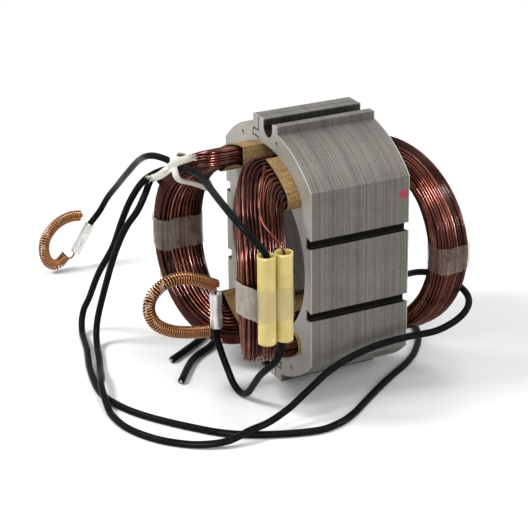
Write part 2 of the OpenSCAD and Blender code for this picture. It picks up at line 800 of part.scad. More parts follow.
// Insulated leads
module lead(route, steps) {
    color([0.14, 0.15, 0.15])
        cord(route, lead_d, steps, lead_sides);
}

module lead_brush_left() {
    lead(route_brush_left, 2);
}

module lead_brush_front() {
    lead(route_brush_front, 2);
}

module lead_supply_right() {
    lead(route_supply_right, 2);
}

module lead_supply_left() {
    lead(route_supply_left, 2);
}

core_half_right();
core_half_left();
coil_right();
coil_left();
liner_top_right();
liner_bottom_right();
liner_top_left();
liner_bottom_left();
tape_front_right();
tape_back_right();
tape_front_left();
tape_back_left();
sleeve_right_outer();
sleeve_right_inner();
sleeve_left_outer();
sleeve_left_inner();
barrel_right_outer();
barrel_right_inner();
barrel_left_outer();
barrel_left_inner();
tails_right();
tails_left();
lacing_tie();
spring_ring_left();
ferrule_left();
spring_ring_front();
ferrule_front();
lead_brush_left();
lead_brush_front();
lead_supply_right();
lead_supply_left();
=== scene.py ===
# %% [markdown]
# # A wound stator
#
# A stator is the still half of an electric motor: a stack of steel sheets with two coils of enamelled wire.
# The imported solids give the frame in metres, and every piece made here sits in that same frame.
# The cells run in order: camera and stage, leads, core, coils, liners, splices, tapes, brush rings and tie.

# %% Load the frame
import bpy
import bmesh
import numpy as np
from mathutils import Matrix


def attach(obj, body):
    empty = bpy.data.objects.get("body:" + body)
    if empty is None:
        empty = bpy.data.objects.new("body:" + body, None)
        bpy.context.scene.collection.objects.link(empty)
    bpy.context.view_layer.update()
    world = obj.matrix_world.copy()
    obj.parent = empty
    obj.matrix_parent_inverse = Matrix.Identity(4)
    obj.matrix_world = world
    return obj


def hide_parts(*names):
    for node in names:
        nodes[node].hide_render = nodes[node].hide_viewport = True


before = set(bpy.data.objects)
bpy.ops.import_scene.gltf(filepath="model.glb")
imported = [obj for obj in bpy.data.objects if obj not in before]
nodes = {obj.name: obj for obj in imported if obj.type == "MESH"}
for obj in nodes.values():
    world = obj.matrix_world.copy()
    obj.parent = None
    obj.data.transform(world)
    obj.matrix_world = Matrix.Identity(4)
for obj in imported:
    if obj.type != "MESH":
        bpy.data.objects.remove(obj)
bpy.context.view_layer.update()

MM = 0.001

# %% [markdown]
# ## Camera
#
# The camera is placed as in the picture. It looks at the motor axis at mid stack, from an azimuth of
# 62 degrees and 22.6 degrees above the horizon. A long lens keeps the lines nearly parallel, and a small
# shift puts the stator where the picture has it.

# %% Camera
AZIMUTH, ELEVATION, DISTANCE = np.radians(62.072), np.radians(22.578), 676.05 * MM
FOCAL_PIXELS, PICTURE, SHIFT_PIXELS = 1807.0, 528.0, (-51.08, -24.44)
SENSOR = 36.0
back = np.array([
    np.sin(AZIMUTH) * np.cos(ELEVATION), -np.cos(AZIMUTH) * np.cos(ELEVATION), np.sin(ELEVATION)
])
camera_data = bpy.data.cameras.new("camera")
camera_data.sensor_width = SENSOR
camera_data.lens = SENSOR * FOCAL_PIXELS / PICTURE
camera_data.shift_x = SHIFT_PIXELS[0] / PICTURE
camera_data.shift_y = SHIFT_PIXELS[1] / PICTURE
camera_data.clip_start = 0.01
camera = bpy.data.objects.new("camera", camera_data)
camera.location = back * DISTANCE
camera.rotation_euler = (np.pi / 2 - ELEVATION, 0.0, AZIMUTH)
bpy.context.collection.objects.link(camera)
bpy.context.scene.camera = camera
bpy.context.scene.view_settings.view_transform = "Standard"
print("lens", round(camera_data.lens, 1), "mm")

# %% [markdown]
# ## Meshes from arrays
#
# Every new surface is a grid: one parameter runs along the piece and one runs round it. A short helper turns
# an array of grid points into a mesh, with a UV map in millimetres, so a finish can follow the surface.

# %% Grid helpers
WELD = 1e-7  # metres; points closer than this become one
TIP = 1e-5  # size of the ring that closes the end of a tube
GLOSSY_SLOTS = ("enamelled_wire", "lead_black", "sleeve_yellow")


def unit(v):
    """v divided by its length, along the last axis."""
    return v / np.linalg.norm(v, axis=-1, keepdims=True)


def square_to(heading, v):
    """Direction of the part of v at right angles to the heading t: v - (v . t) t, made one long."""
    return unit(v - heading * (v * heading).sum(-1, keepdims=True))


def closed_heading(line, axis=0):
    """Heading at each point of a closed line, from the point before it to the point after it."""
    return unit(np.roll(line, -1, axis) - np.roll(line, 1, axis))


def circle(count):
    """Angles of points spread evenly round a circle."""
    return np.linspace(0, 2 * np.pi, count, endpoint=False)


def both_ways(count):
    """From -0.5 to 0.5 and back, with count places each way: the outside and the inside of a wall."""
    return np.concatenate([np.linspace(-0.5, 0.5, count), np.linspace(0.5, -0.5, count)])


def blend(a, b, t):
    """From a to b while t goes from 0 to 1."""
    return a + (b - a) * t


def grid_faces(rows, columns, closed=False, copies=1):
    """Corner numbers of the quads of a grid whose columns go round, or of several equal grids in turn;
    closed says that the rows go round too."""
    i = np.arange(rows if closed else rows - 1)
    i, j = np.meshgrid(i, np.arange(columns), indexing="ij")
    k, l = (i + 1) % rows, (j + 1) % columns
    quad = np.stack([i * columns + j, i * columns + l, k * columns + l, k * columns + j], -1).reshape(-1, 4)
    return (np.arange(copies)[:, None, None] * rows * columns + quad).reshape(-1, 4)


def add_piece(name, points, material, slot, faces=None, closed=False, uv=None, tone=None, weld=True,
              replaces=()):
    """A smooth mesh from points in millimetres, in one grid or several unless the faces are given; it rides on
    the stator and may stand for CAD nodes."""
    points = np.asarray(points, float)
    if faces is None:
        faces = grid_faces(*points.shape[-3:-1], closed, points[..., 0, 0, 0].size)
    points = points.reshape(-1, 3)
    mesh = bpy.data.meshes.new(name)
    mesh.vertices.add(len(points))
    mesh.vertices.foreach_set("co", (points * MM).ravel())
    mesh.loops.add(faces.size)
    mesh.loops.foreach_set("vertex_index", faces.ravel().astype(np.int32))
    mesh.polygons.add(len(faces))
    mesh.polygons.foreach_set("loop_start", np.arange(len(faces), dtype=np.int32) * faces.shape[1])
    mesh.update(calc_edges=True)
    mesh.polygons.foreach_set("use_smooth", np.ones(len(faces), dtype=bool))
    if uv is not None:
        layer = mesh.uv_layers.new(name="surface")
        layer.uv.foreach_set("vector", np.asarray(uv, float).reshape(-1, 2)[faces.ravel()].ravel())
    if tone is not None:
        attribute = mesh.attributes.new("tone", "FLOAT", "POINT")
        attribute.data.foreach_set("value", np.asarray(tone, float).ravel())
    if weld:
        work = bmesh.new()
        work.from_mesh(mesh)
        bmesh.ops.remove_doubles(work, verts=work.verts, dist=WELD)
        if work.calc_volume(signed=True) < 0:
            bmesh.ops.reverse_faces(work, faces=work.faces)
        work.to_mesh(mesh)
        work.free()
    mesh.validate()
    piece = bpy.data.objects.new(name, mesh)
    bpy.context.collection.objects.link(piece)
    piece.data.materials.append(material)
    if slot in GLOSSY_SLOTS:
        glossy.objects.link(piece)
    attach(piece, "root")
    if replaces:
        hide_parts(*replaces)
    print(name, len(points), "points", len(faces), "faces")
    return piece


# %% [markdown]
# ## Finishes
#
# Each finish is a small network of nodes on the principled shader. Patterns read the piece's own object
# coordinates, in metres, or its UV map. Helpers add nodes by type and wire them in one line.

# %% Material helpers
def node_adder(tree):
    """The function that adds a node to a tree, with its settings made and its inputs set or linked."""

    def add(kind, inputs=None, **settings):
        node = tree.nodes.new(kind)
        for key, value in settings.items():
            setattr(node, key, value)
        for key, value in (inputs or {}).items():
            if isinstance(value, bpy.types.NodeSocket):
                tree.links.new(value, node.inputs[key])
            else:
                node.inputs[key].default_value = value
        return node

    return add


def finish(name, roughness, metallic=0.0, **sockets):
    """A new material, with the function that adds nodes to it and the one that feeds its shader's sockets."""
    material = bpy.data.materials.new(name)
    material.use_nodes = True
    tree = material.node_tree
    shader = tree.nodes["Principled BSDF"]
    shader.inputs["Roughness"].default_value = roughness
    shader.inputs["Metallic"].default_value = metallic
    for socket, value in sockets.items():
        shader.inputs[socket.replace("_", " ")].default_value = value

    def into(socket, output):
        tree.links.new(output, shader.inputs[socket])

    return material, node_adder(tree), into


def calc(add, operation, a, b=0.0, c=0.0):
    """One Math node: operation on a, b and c, each of which is a number or another node's output."""
    return add("ShaderNodeMath", {0: a, 1: b, 2: c}, operation=operation).outputs[0]


def remap(add, value, low, high, start=0.0, stop=1.0, kind="LINEAR"):
    """Goes from low to high while the value goes from start to stop."""
    ends = {"From Min": start, "From Max": stop, "To Min": low, "To Max": high}
    return add("ShaderNodeMapRange", {"Value": value, **ends}, interpolation_type=kind).outputs["Result"]


def mix(add, factor, a, b, kind="MIX"):
    """Colour a where the factor is 0; where it is 1, colour b or the two blended as kind says."""
    return add("ShaderNodeMix", {0: factor, 6: a, 7: b}, data_type="RGBA", blend_type=kind).outputs[2]


def stretched(add, where, scale):
    """Coordinates multiplied by a scale along each axis."""
    return add("ShaderNodeMapping", {"Vector": where, "Scale": scale}).outputs[0]


def noise(add, where, scale, detail=4.0, roughness=0.55):
    """Noise of a given scale, from 0 to 1."""
    inputs = {"Vector": where, "Scale": scale, "Detail": detail, "Roughness": roughness}
    return add("ShaderNodeTexNoise", inputs).outputs["Fac"]


def ramp(add, value, stops):
    """Colour ramp through stops of (position, colour)."""
    node = add("ShaderNodeValToRGB", {"Fac": value})
    band = node.color_ramp
    for position, _ in stops[2:]:
        band.elements.new(position)
    for element, (position, colour) in zip(band.elements, sorted(stops)):
        element.position = position
        element.color = (*colour, 1.0)
    return node.outputs["Color"]


def bump(add, into, height, strength, distance):
    """Bump from a height of 0 to 1."""
    node = add("ShaderNodeBump", {"Height": height, "Strength": strength, "Distance": distance})
    into("Normal", node.outputs["Normal"])


def place(add, kind="Object"):
    """The piece's own coordinates: Object, in metres, or UV, in millimetres."""
    return add("ShaderNodeTexCoord").outputs[kind]


def dress(material, *names):
    """Gives a finish to CAD solids that stay."""
    for name in names:
        nodes[name].data.materials.clear()
        nodes[name].data.materials.append(material)


# %% [markdown]
# ## Stage
#
# A white sweep: the floor is white near the stator, where it takes a soft shadow, and fades out into the
# white world further off. Three soft lamps and the even world give the light. Two small lamps add highlights
# only, and they reach only the glossy pieces: wire, leads and sleeves.

# %% Floor, world and lamps
FLOOR_Z, FLOOR_HALF = -50.0, 900.0
FLOOR_FADE = (0.13, 0.30)  # metres from the origin
WORLD_LIGHT, WORLD_SEEN = 0.42, 1.0
GLINT_SIZE = 0.1
corners = np.array([(-1, -1), (1, -1), (1, 1), (-1, 1)]) * FLOOR_HALF
floor_points = np.column_stack([corners, np.full(4, FLOOR_Z)])
floor_mesh = bpy.data.meshes.new("floor")
floor_mesh.from_pydata((floor_points * MM).tolist(), [], [(0, 1, 2, 3)])
floor = bpy.data.objects.new("floor", floor_mesh)
bpy.context.collection.objects.link(floor)
floor_paint, add, into = finish("floor_paint", 0.9)
reach = add("ShaderNodeVectorMath", {0: place(add)}, operation="LENGTH").outputs["Value"]
grain = noise(add, place(add), 40.0)
into("Base Color", ramp(add, grain, [(0.0, (0.93, 0.93, 0.93)), (1.0, (0.96, 0.96, 0.96))]))
into("Alpha", remap(add, reach, 1.0, 0.0, *FLOOR_FADE, kind="SMOOTHSTEP"))
floor.data.materials.append(floor_paint)

world = bpy.data.worlds.new("world")
bpy.context.scene.world = world
world.use_nodes = True
world.node_tree.nodes.clear()
add = node_adder(world.node_tree)
ray = add("ShaderNodeLightPath").outputs
mirrored = calc(add, "MAXIMUM", ray["Is Glossy Ray"], ray["Is Transmission Ray"])
seen = calc(add, "MAXIMUM", ray["Is Camera Ray"], mirrored)
skies = [
    add("ShaderNodeBackground", {"Color": (1.0, 1.0, 1.0, 1.0), "Strength": strength}).outputs[0]
    for strength in (WORLD_LIGHT, WORLD_SEEN)
]
choose = add("ShaderNodeMixShader", {0: seen, 1: skies[0], 2: skies[1]})
add("ShaderNodeOutputWorld", {"Surface": choose.outputs[0]})


def soft_lamp(name, position, size, power):
    """A square area lamp at a position in metres, turned to the origin."""
    data = bpy.data.lights.new(name, "AREA")
    data.shape = "SQUARE"
    data.size = size
    data.energy = power
    lamp = bpy.data.objects.new(name, data)
    lamp.location = position
    x, y, z = position
    lamp.rotation_euler = (np.arccos(z / np.linalg.norm(position)), 0.0, np.arctan2(-y, -x) - np.pi / 2)
    bpy.context.collection.objects.link(lamp)
    return lamp


soft_lamp("lamp_left", (-0.25, -0.75, 0.75), 0.32, 9.0)
soft_lamp("lamp_right", (0.95, -0.05, 0.55), 0.45, 4.0)
soft_lamp("lamp_top", (0.1, 0.25, 1.0), 0.5, 4.0)
glints = [soft_lamp("glint_right", (0.43, -0.48, 0.28), GLINT_SIZE, 8.0),
          soft_lamp("glint_back", (0.40, 0.57, 0.12), GLINT_SIZE, 3.0)]
glossy = bpy.data.collections.new("glossy_pieces")
for glint in glints:
    glint.visible_diffuse = False
    glint.light_linking.receiver_collection = glossy
print("stage ready")

# %% [markdown]
# ## Leads
#
# Four black leads of 2.6 mm come out of the splices. Two go to the brush rings and two are cut supply leads
# that lie on the bench. A lead is a tube on a smooth curve through listed points, the same ones as in the
# solids. The curve between two points depends on one more point on each side, so it has no corners.

# %% Routes and tubes
LEAD_D = 2.6
LIE = LEAD_D / 2 + FLOOR_Z
SLEEVE_X, SLEEVE_LEN, BARREL_LEN = 43.0, 33.0, 10.0
SLEEVE_Z = {1: 1.5, -1: -6.0}
SLEEVE_Y = {"outer": -41.6, "inner": -34.9}
FERRULE_LEN, FERRULE_BORE = 14.0, 4.0
FERRULES = {"left": (-126.0, (-42.1, -30.8), -32.8), "front": (0.0, (-41.3, -13.0), 0.0)}


def from_splice(side, row, up):
    """Three places on a line, from a splice's barrel to the end of its sleeve."""
    reach = (BARREL_LEN / 2, (BARREL_LEN + SLEEVE_LEN) / 4, SLEEVE_LEN / 2)
    return [(side * SLEEVE_X, SLEEVE_Y[row], SLEEVE_Z[side] + up * z) for z in reach]


def on_ferrule(which, *depths):
    """Places on a ferrule's axis at depths k below its top: top + k (sin tilt, -cos tilt)."""
    x, top, tilt = FERRULES[which]
    a = np.radians(tilt)
    return [(x, top[0] + k * np.sin(a), top[1] - k * np.cos(a)) for k in depths]


# points given by two numbers lie on the bench
ROUTES = {
    "lead_brush_left": from_splice(-1, "inner", 1) + [
        (-43.2, -35.2, 17), (-45.6, -37.6, 22.2), (-50.6, -41.2, 23.8), (-57.5, -43, 22),
        (-73.1, -40.5, 14.4), (-90.2, -38.4, 3.4), (-109.1, -35.6, -8.8), (-120.2, -35.8, -17.9),
        (-124.8, -38, -25.4),
    ] + on_ferrule("left", -0.1, 1.8, 3.7),
    "lead_brush_front": from_splice(1, "inner", -1) + [
        (40.5, -36.5, -23.5), (36, -38, -28.8), (30.5, -38.4, -34), (25, -38.3, -40), (19.5, -38.2, -46),
        (14, -38.4, -48.5), (9, -38.9, -47), (5.5, -39.6, -42.5), (2.5, -40.5, -37),
    ] + on_ferrule("front", 18.0, 14.15, 10.3),
    "lead_supply_right": from_splice(1, "outer", 1) + [
        (42, -45.2, 23.5), (40, -48.6, 28), (34, -50.4, 31.5), (22, -49.2, 32.5), (8, -46.6, 32.2),
        (-2, -45.6, 33), (-9, -46.6, 33), (-16, -48.4, 31.5), (-25, -51.3, 28), (-32, -55, 22.5),
        (-38, -58, 13.5), (-43, -60, 3.5), (-49, -61.8, -9), (-56, -65.5, -22), (-62.6, -67.4, -34.5),
        (-65.6, -68.8, -40.6), (-65, -70.2, -45.4), (-60.8, -71.7, -48.4), (-54, -73.4),
        (-46, -75.5), (-30, -80.5), (-12, -84), (0, -82.5), (13, -77),
        (28, -66.5), (40, -55.5), (48, -41.5), (52.5, -27), (51.5, -18),
        (47.5, -9.5), (39, 2), (29, 16), (20.5, 29), (12, 38),
        (0, 46), (-16, 50), (-32, 47), (-46, 37), (-53, 22),
        (-54, 4), (-48, -13), (-38, -22), (-28, -31), (-20, -42.5),
        (-5, -54),
    ],
    "lead_supply_left": from_splice(-1, "outer", 1) + [
        (-42.4, -43.2, 15.8), (-39.6, -46.8, 20), (-35.8, -50.8, 20.4), (-32.9, -54.4, 16.4),
        (-33, -57.6, 10.6), (-36.4, -60.6, 4), (-40.4, -62.6, -4), (-45.2, -64.2, -14.5), (-50.5, -66.8, -31),
        (-52.6, -68.2, -40), (-51.4, -69.4, -45.4), (-46.8, -71, -48.4), (-39, -73.4),
        (-30, -76.5), (-18, -80.5, -46.4), (-11, -83.5, -45.6), (-3, -85.5, -46.4), (8, -87),
        (20, -85.5), (32, -79.5), (41, -70.5), (46.5, -60, -47.6),
        (46.5, -50.5, -45.6), (44.5, -42, -45.4), (42.5, -33, -43), (41.5, -25, -38.5), (40, -15.5, -33.5),
        (38.5, -5.5, -30.8), (38, 6, -28.8), (38.5, 18.5, -28), (40, 29, -27.5), (42, 36.5, -24),
        (41, 42, -20.5), (35.5, 45.6, -18.5), (26, 46.6, -17.5), (15, 46.4, -18.5), (4, 45.6, -21),
        (-9, 46, -27), (-24, 48.5, -36), (-40, 49, -44.5), (-54, 43), (-62, 28),
        (-63.5, 8), (-58, -11), (-46, -22.5), (-36, -31), (-23, -50),
    ],
}

ROUTE_STEPS = 8
CAP = 0.02  # how far past the end of a tube its closing ring lies
ROUND_RADII = np.array([TIP, 0.75, 1.0])
ROUND_STEPS = np.array([0.0, 0.02, 0.2])[:, None]


def smooth_route(points, steps):
    """Curve through the points: from b to c, with a before and d after,
    it is b + t/2 (c - a + t (2a - 5b + 4c - d + t (3(b - c) + d - a)))."""
    p = np.asarray(points, float)
    a, b, c, d = np.vstack([p[:1], p[:-2]]), p[:-1], p[1:], np.vstack([p[2:], p[-1:]])
    a, b, c, d = (q[:, None, :] for q in (a, b, c, d))
    t = (np.arange(steps) / steps)[None, :, None]
    curve = b + 0.5 * t * (c - a + t * (2 * a - 5 * b + 4 * c - d + t * (3 * (b - c) + d - a)))
    return np.vstack([curve.reshape(-1, p.shape[1]), p[-1:]])


def carried_side(path, first):
    """Side vectors carried along a path without twist: each is the last one, made square to the new heading."""
    heading = unit(np.gradient(path, axis=0))
    sides = np.empty_like(path)
    side = np.asarray(first, float)
    for k, t in enumerate(heading):
        side = side - t * (side @ t)
        side = side / np.linalg.norm(side)
        sides[k] = side
    return sides


def travel(path):
    """Distance along a path up to each of its points."""
    return np.concatenate([[0.0], np.cumsum(np.linalg.norm(np.diff(path, axis=0), axis=1))])


def round_line(line, side, other, sides):
    """Points p + cos u s + sin u o round each point p of a line, with side vectors s and o."""
    u = circle(sides)[:, None]
    return line[..., None, :] + np.cos(u) * side[..., None, :] + np.sin(u) * other[..., None, :]


def tube(path, side, radius, sides, flat=1.0):
    """Points p + r (cos u s + flat sin u (t x s)) round each path point p, with heading t and side s."""
    heading = unit(np.gradient(path, axis=-2))
    side = square_to(heading, side)
    radius = np.broadcast_to(np.asarray(radius, float), path.shape[:-1])[..., None]
    return round_line(path, radius * side, radius * flat * np.cross(heading, side), sides)


def capped(path, side, radius):
    """Path, side vectors and radii with a tiny ring just past each end, so a tube on them is closed."""
    radius = np.broadcast_to(np.asarray(radius, float), path.shape[:-1])
    first, last = path[..., :1, :], path[..., -1:, :]
    before = first + CAP * unit(first - path[..., 1:2, :])
    after = last + CAP * unit(last - path[..., -2:-1, :])
    point = np.full_like(radius[..., :1], TIP)
    return (
        np.concatenate([before, path, after], -2),
        np.concatenate([side[..., :1, :], side, side[..., -1:, :]], -2),
        np.concatenate([point, radius, point], -1),
    )


def tube_uv(path, sides, girth):
    """UV of a tube in millimetres: round it, and along it."""
    u, v = np.meshgrid(np.arange(sides) / sides * girth, travel(path))
    return np.stack([u, v], -1)


def closed_tube(path, first, radius, sides, flat=1.0):
    """A tube with rounded closed ends: at each end the radius falls to nothing over three rings."""
    head, tail = unit(path[1] - path[0]), unit(path[-1] - path[-2])
    step = ROUND_STEPS * radius
    path = np.vstack([path[0] + head * step, path[1:-1], (path[-1] - tail * step)[::-1]])
    radii = np.concatenate([ROUND_RADII, np.ones(len(path) - 6), ROUND_RADII[::-1]]) * radius
    return path, tube(path, carried_side(path, first), radii, sides, flat)


def joined(shells):
    """Points and faces of several tubes with equal numbers of sides, as one mesh."""
    sides = shells[0].shape[1]
    starts = np.cumsum([0] + [len(shell) * sides for shell in shells[:-1]])
    faces = [grid_faces(len(shell), sides) + n for shell, n in zip(shells, starts)]
    return np.concatenate([shell.reshape(-1, 3) for shell in shells]), np.concatenate(faces)


# %% Black insulation
lead_black, add, into = finish("lead_black", 0.35, Specular_IOR_Level=0.025)
scuff = noise(add, place(add, "UV"), 0.35, detail=6.0)
into("Base Color", ramp(add, scuff, [(0.25, (0.004, 0.0043, 0.0045)), (0.8, (0.010, 0.0108, 0.011))]))
into("Roughness", remap(add, scuff, 0.22, 0.40))
bump(add, into, noise(add, place(add, "UV"), 1.8), 0.12, 0.0002)

# %% Cut ends with their bare strands
STRAND_RING, STRAND_SIDES = 0.42, 8
STRAND_REACH = np.array([-2.0, -1.0, 0.2, 0.8])
STRAND_RADII = np.array([0.2, 0.2, 0.2, 0.12])
conductor, add, into = finish("conductor_tinned", 0.35, 0.8)
gleam = noise(add, place(add), 1500.0)
into("Base Color", ramp(add, gleam, [(0.3, (0.40, 0.39, 0.37)), (0.7, (0.80, 0.79, 0.76))]))


def cut_strands(name, path):
    """Seven fine strands, one in the middle and six round it, that show 0.8 mm beyond the cut insulation."""
    tip, heading = path[-1], unit(path[-1] - path[-2])
    side = unit(np.cross(heading, [0.0, 0.0, 1.0]))
    other = np.cross(heading, side)
    a = circle(6)[:, None]
    offsets = np.vstack([np.zeros(3), STRAND_RING * (np.cos(a) * side + np.sin(a) * other)])
    lines = tip + offsets[:, None, :] + STRAND_REACH[None, :, None] * heading
    points = tube(*capped(lines, np.broadcast_to(side, lines.shape), STRAND_RADII), STRAND_SIDES)
    return add_piece(name, points, conductor, "tinned_metal")


LEAD_SIDES, LEAD_SIDE = 14, (0.3, 0.2, 1.0)
lead_pieces = {}
for lead_name, route in ROUTES.items():
    path = smooth_route([(*point, LIE)[:3] for point in route], ROUTE_STEPS)
    path[:, 2] = np.maximum(path[:, 2], LIE)
    line, points = closed_tube(path, LEAD_SIDE, LEAD_D / 2, LEAD_SIDES)
    skin = add_piece(lead_name + "_skin", points, lead_black, "lead_black",
                     uv=tube_uv(line, LEAD_SIDES, np.pi * LEAD_D), replaces=[lead_name])
    lead_pieces[lead_name] = (skin, line)

strands_right = cut_strands("supply_right_strands", lead_pieces["lead_supply_right"][1])
strands_left = cut_strands("supply_left_strands", lead_pieces["lead_supply_left"][1])

# %% [markdown]
# ## Laminated core
#
# The half cores keep their CAD solids. Their finish does the work: each steel sheet is half a millimetre, so
# the stack's sides carry fine lines at that spacing along Y, every sheet a little lighter or darker than
# the next, while the two end faces are smooth rolled steel.

# %% Lamination steel
SHEET = 0.5 * MM
GROOVE_Z, CHANNEL_X = 14.0 * MM, 1.5 * MM
lamination, add, into = finish("lamination_steel", 0.46, 0.35)
spot = place(add)
x, y, z = add("ShaderNodeSeparateXYZ", {0: spot}).outputs
off_x, off_y, off_z = (calc(add, "ABSOLUTE", axis) for axis in (x, y, z))


def step_in(value, low, high):
    """0 at low and 1 at high, smooth between them; low may be the larger of the two."""
    return remap(add, value, 0.0, 1.0, low, high, kind="SMOOTHSTEP")


def within(*limits):
    """Product of steps, each given as (value, where it is 0, where it is 1) in millimetres."""
    product = 1.0
    for value, low, high in limits:
        product = calc(add, "MULTIPLY", product, step_in(value, low * MM, high * MM))
    return product


sheets = calc(add, "DIVIDE", y, SHEET)
number = calc(add, "FLOOR", sheets)
tone = add("ShaderNodeTexWhiteNoise", {"W": number}, noise_dimensions="1D").outputs["Value"]
groove = step_in(calc(add, "PINGPONG", calc(add, "FRACT", sheets), 0.5), 0.02, 0.24)
normal = add("ShaderNodeNewGeometry").outputs["True Normal"]
normal_y = add("ShaderNodeSeparateXYZ", {0: normal}).outputs["Y"]
end_face = step_in(calc(add, "ABSOLUTE", normal_y), 0.8, 0.95)
wear = noise(add, spot, 160.0, detail=8.0)
burr = noise(add, spot, 2200.0, detail=1.0)
edge_value = calc(add, "MULTIPLY_ADD", wear, 0.30, calc(add, "MULTIPLY", burr, 0.46))
edge_value = calc(add, "MULTIPLY_ADD", tone, 0.24, edge_value)
edge_value = calc(add, "MULTIPLY", edge_value, calc(add, "MULTIPLY_ADD", groove, 0.62, 0.38))

# painted shade: the grooves in the flats and the screw channels are painted darker and reflect less, as shade
# with some dirt
from_groove = calc(add, "ABSOLUTE", calc(add, "SUBTRACT", off_z, GROOVE_Z))
in_groove = within((from_groove, 2.4, 1.9), (off_x, 34.3, 33.4), (off_x, 30.8, 31.1))
channel_x = calc(add, "MULTIPLY", calc(add, "SIGN", z), CHANNEL_X)
from_channel = calc(add, "ABSOLUTE", calc(add, "SUBTRACT", x, channel_x))
in_channel = within((from_channel, 3.6, 3.45), (off_z, 49.95, 49.3), (off_z, 43.9, 44.1))
shade = calc(add, "MULTIPLY_ADD", calc(add, "MAXIMUM", in_groove, in_channel), -0.93, 1.0)
edge_value = calc(add, "MULTIPLY", edge_value, shade)
edge_colour = ramp(add, edge_value, [(0.05, (0.014, 0.0129, 0.0105)), (0.62, (0.198, 0.187, 0.164))])

# painted highlight: a bright line on the outermost sheets, along the edges where the sides meet the end faces
painted_edge_highlight = calc(add, "MULTIPLY", within((off_y, 19.45, 19.65)), calc(add, "MULTIPLY", shade, 0.6))
side_colour = mix(add, painted_edge_highlight, edge_colour, (0.55, 0.535, 0.50, 1.0))
mottle = noise(add, spot, 90.0, detail=6.0)
face_colour = ramp(add, mottle, [(0.3, (0.35, 0.339, 0.306)), (0.7, (0.47, 0.454, 0.412))])
into("Base Color", mix(add, end_face, side_colour, face_colour))
into("Roughness", remap(add, wear, 0.38, 0.58))
# the painted shade of the grooves and channels also lowers their reflection
into("Specular IOR Level", calc(add, "MULTIPLY", shade, 0.5))
bump(add, into, calc(add, "MULTIPLY", groove, calc(add, "SUBTRACT", 1.0, end_face)), 0.35, 0.0001)
dress(lamination, "core_half_right", "core_half_left")

# %% [markdown]
# The two halves meet in a seam with a barbed tongue, at the top and, half a turn on, at the bottom. Painted
# shade draws its narrow gap as a dark line on the end faces: a thin dark strip along the seam's corners,
# with a mitre m = (n0 + n1) / (1 + n0 . n1) at each of them.

# %% Seam lines
FACE = 20.0
SEAM = np.array([(-6.1, 49.9), (-6.1, 44.6), (-10.2, 44.6), (-10.8, 42.0), (-6.4, 42.0), (-6.4, 40.4)])
SEAM_WIDTH, SEAM_RISE = 0.5, np.array([0.03, 0.03, -0.1, -0.1])
# painted shade: a near-black strip stands for the shade in the seam's gap
painted_seam_shade, add, into = finish("painted_seam_shade", 0.8, Specular_IOR_Level=0.1)
seam_shade_mottle = noise(add, place(add), 900.0)
into("Base Color", ramp(add, seam_shade_mottle, [(0.3, (0.006, 0.0055, 0.005)), (0.7, (0.022, 0.020, 0.017))]))
along = unit(np.diff(SEAM, axis=0))
normal = np.stack([-along[:, 1], along[:, 0]], -1)
before, after = np.vstack([normal[:1], normal]), np.vstack([normal, normal[-1:]])
mitre = (before + after) / (1 + (before * after).sum(-1, keepdims=True)) * SEAM_WIDTH / 2
ring = SEAM[:, None, :] + mitre[:, None, :] * np.array([1.0, -1.0, -1.0, 1.0])[:, None]
first, last = (np.repeat(end.mean(1, keepdims=True), 4, 1) for end in (ring[:1], ring[-1:]))
strip = np.concatenate([first, ring, last])
depth = np.broadcast_to(FACE + SEAM_RISE, strip.shape[:2])
strips = [
    np.stack([turn * strip[..., 0], face * depth, turn * strip[..., 1]], -1)[::face]
    for turn in (1, -1) for face in (-1, 1)
]
add_piece("seam_lines", np.stack(strips), painted_seam_shade, "lamination_steel")

# %% [markdown]
# A dab of red paint marks the near flat. It is a thin dome on a wavy disc, so its rim is soft and uneven.

# %% Paint mark
FLAT_X, DAB_Y, DAB_Z = 34.4, 17.6, 26.8
DAB_R, DAB_TALL, DAB_RISE, DAB_SINK = 1.85, 1.08, 0.10, 0.04
paint_red, add, into = finish("paint_red", 0.35)
pigment = noise(add, place(add), 700.0)
into("Base Color", ramp(add, pigment, [(0.3, (0.24, 0.020, 0.045)), (0.7, (0.36, 0.035, 0.075))]))
turn = circle(40)
rim = DAB_R * (1 + 0.07 * np.sin(3 * turn + 0.6) + 0.05 * np.sin(5 * turn))
share = np.linspace(0, 1, 8)
rho = np.concatenate([share, [1.0, 0.0]])[:, None]
rise = np.concatenate([DAB_RISE * (1 - share ** 4), [-DAB_SINK, -DAB_SINK]])[:, None]
dab = np.stack([
    FLAT_X + rise + 0 * rim, DAB_Y + rho * rim * np.cos(turn), DAB_Z + DAB_TALL * rho * rim * np.sin(turn)
], -1)
add_piece("paint_mark", dab, paint_red, "lacing_cord")

# %% [markdown]
# ## Coils
#
# Each coil is a saddle: its wires run straight through the slots and bend round the bore outside the stack.
# A place in the bundle is given by w, from the inner to the outer turns, and d, from the bore side outwards.
# The bend is a rounded square in angle and length, with b from 0 at the upper slot to 180 degrees at the
# lower. The wires of the two outer layers are tubes of 1.25 mm that wander a little, over a filling painted
# near black as the shade of the inner turns. Each wire carries a painted highlight on its crest and painted
# shade at its sides.

# %% The saddle in two parameters
WIRE_D = 1.25
ROWS = 11
SLOT_R0, SLOT_R1, SLOT_A0 = 32.6, 40.8, 44.5
SLOT_MID = (SLOT_R0 + SLOT_R1) / 2
LINER_WALL = 0.05 + 0.4 + 0.3
WIRE_R0, WIRE_R1 = SLOT_R0 + LINER_WALL, SLOT_R1 - LINER_WALL
ROOT_EASE = 0.15 + 0.1 * (SLOT_R1 - SLOT_R0) / 2
WIRE_A0, WIRE_A1 = SLOT_A0 + np.degrees(np.arcsin((LINER_WALL + ROOT_EASE) / SLOT_MID)), 84.0
TURNS_R0 = 30.8
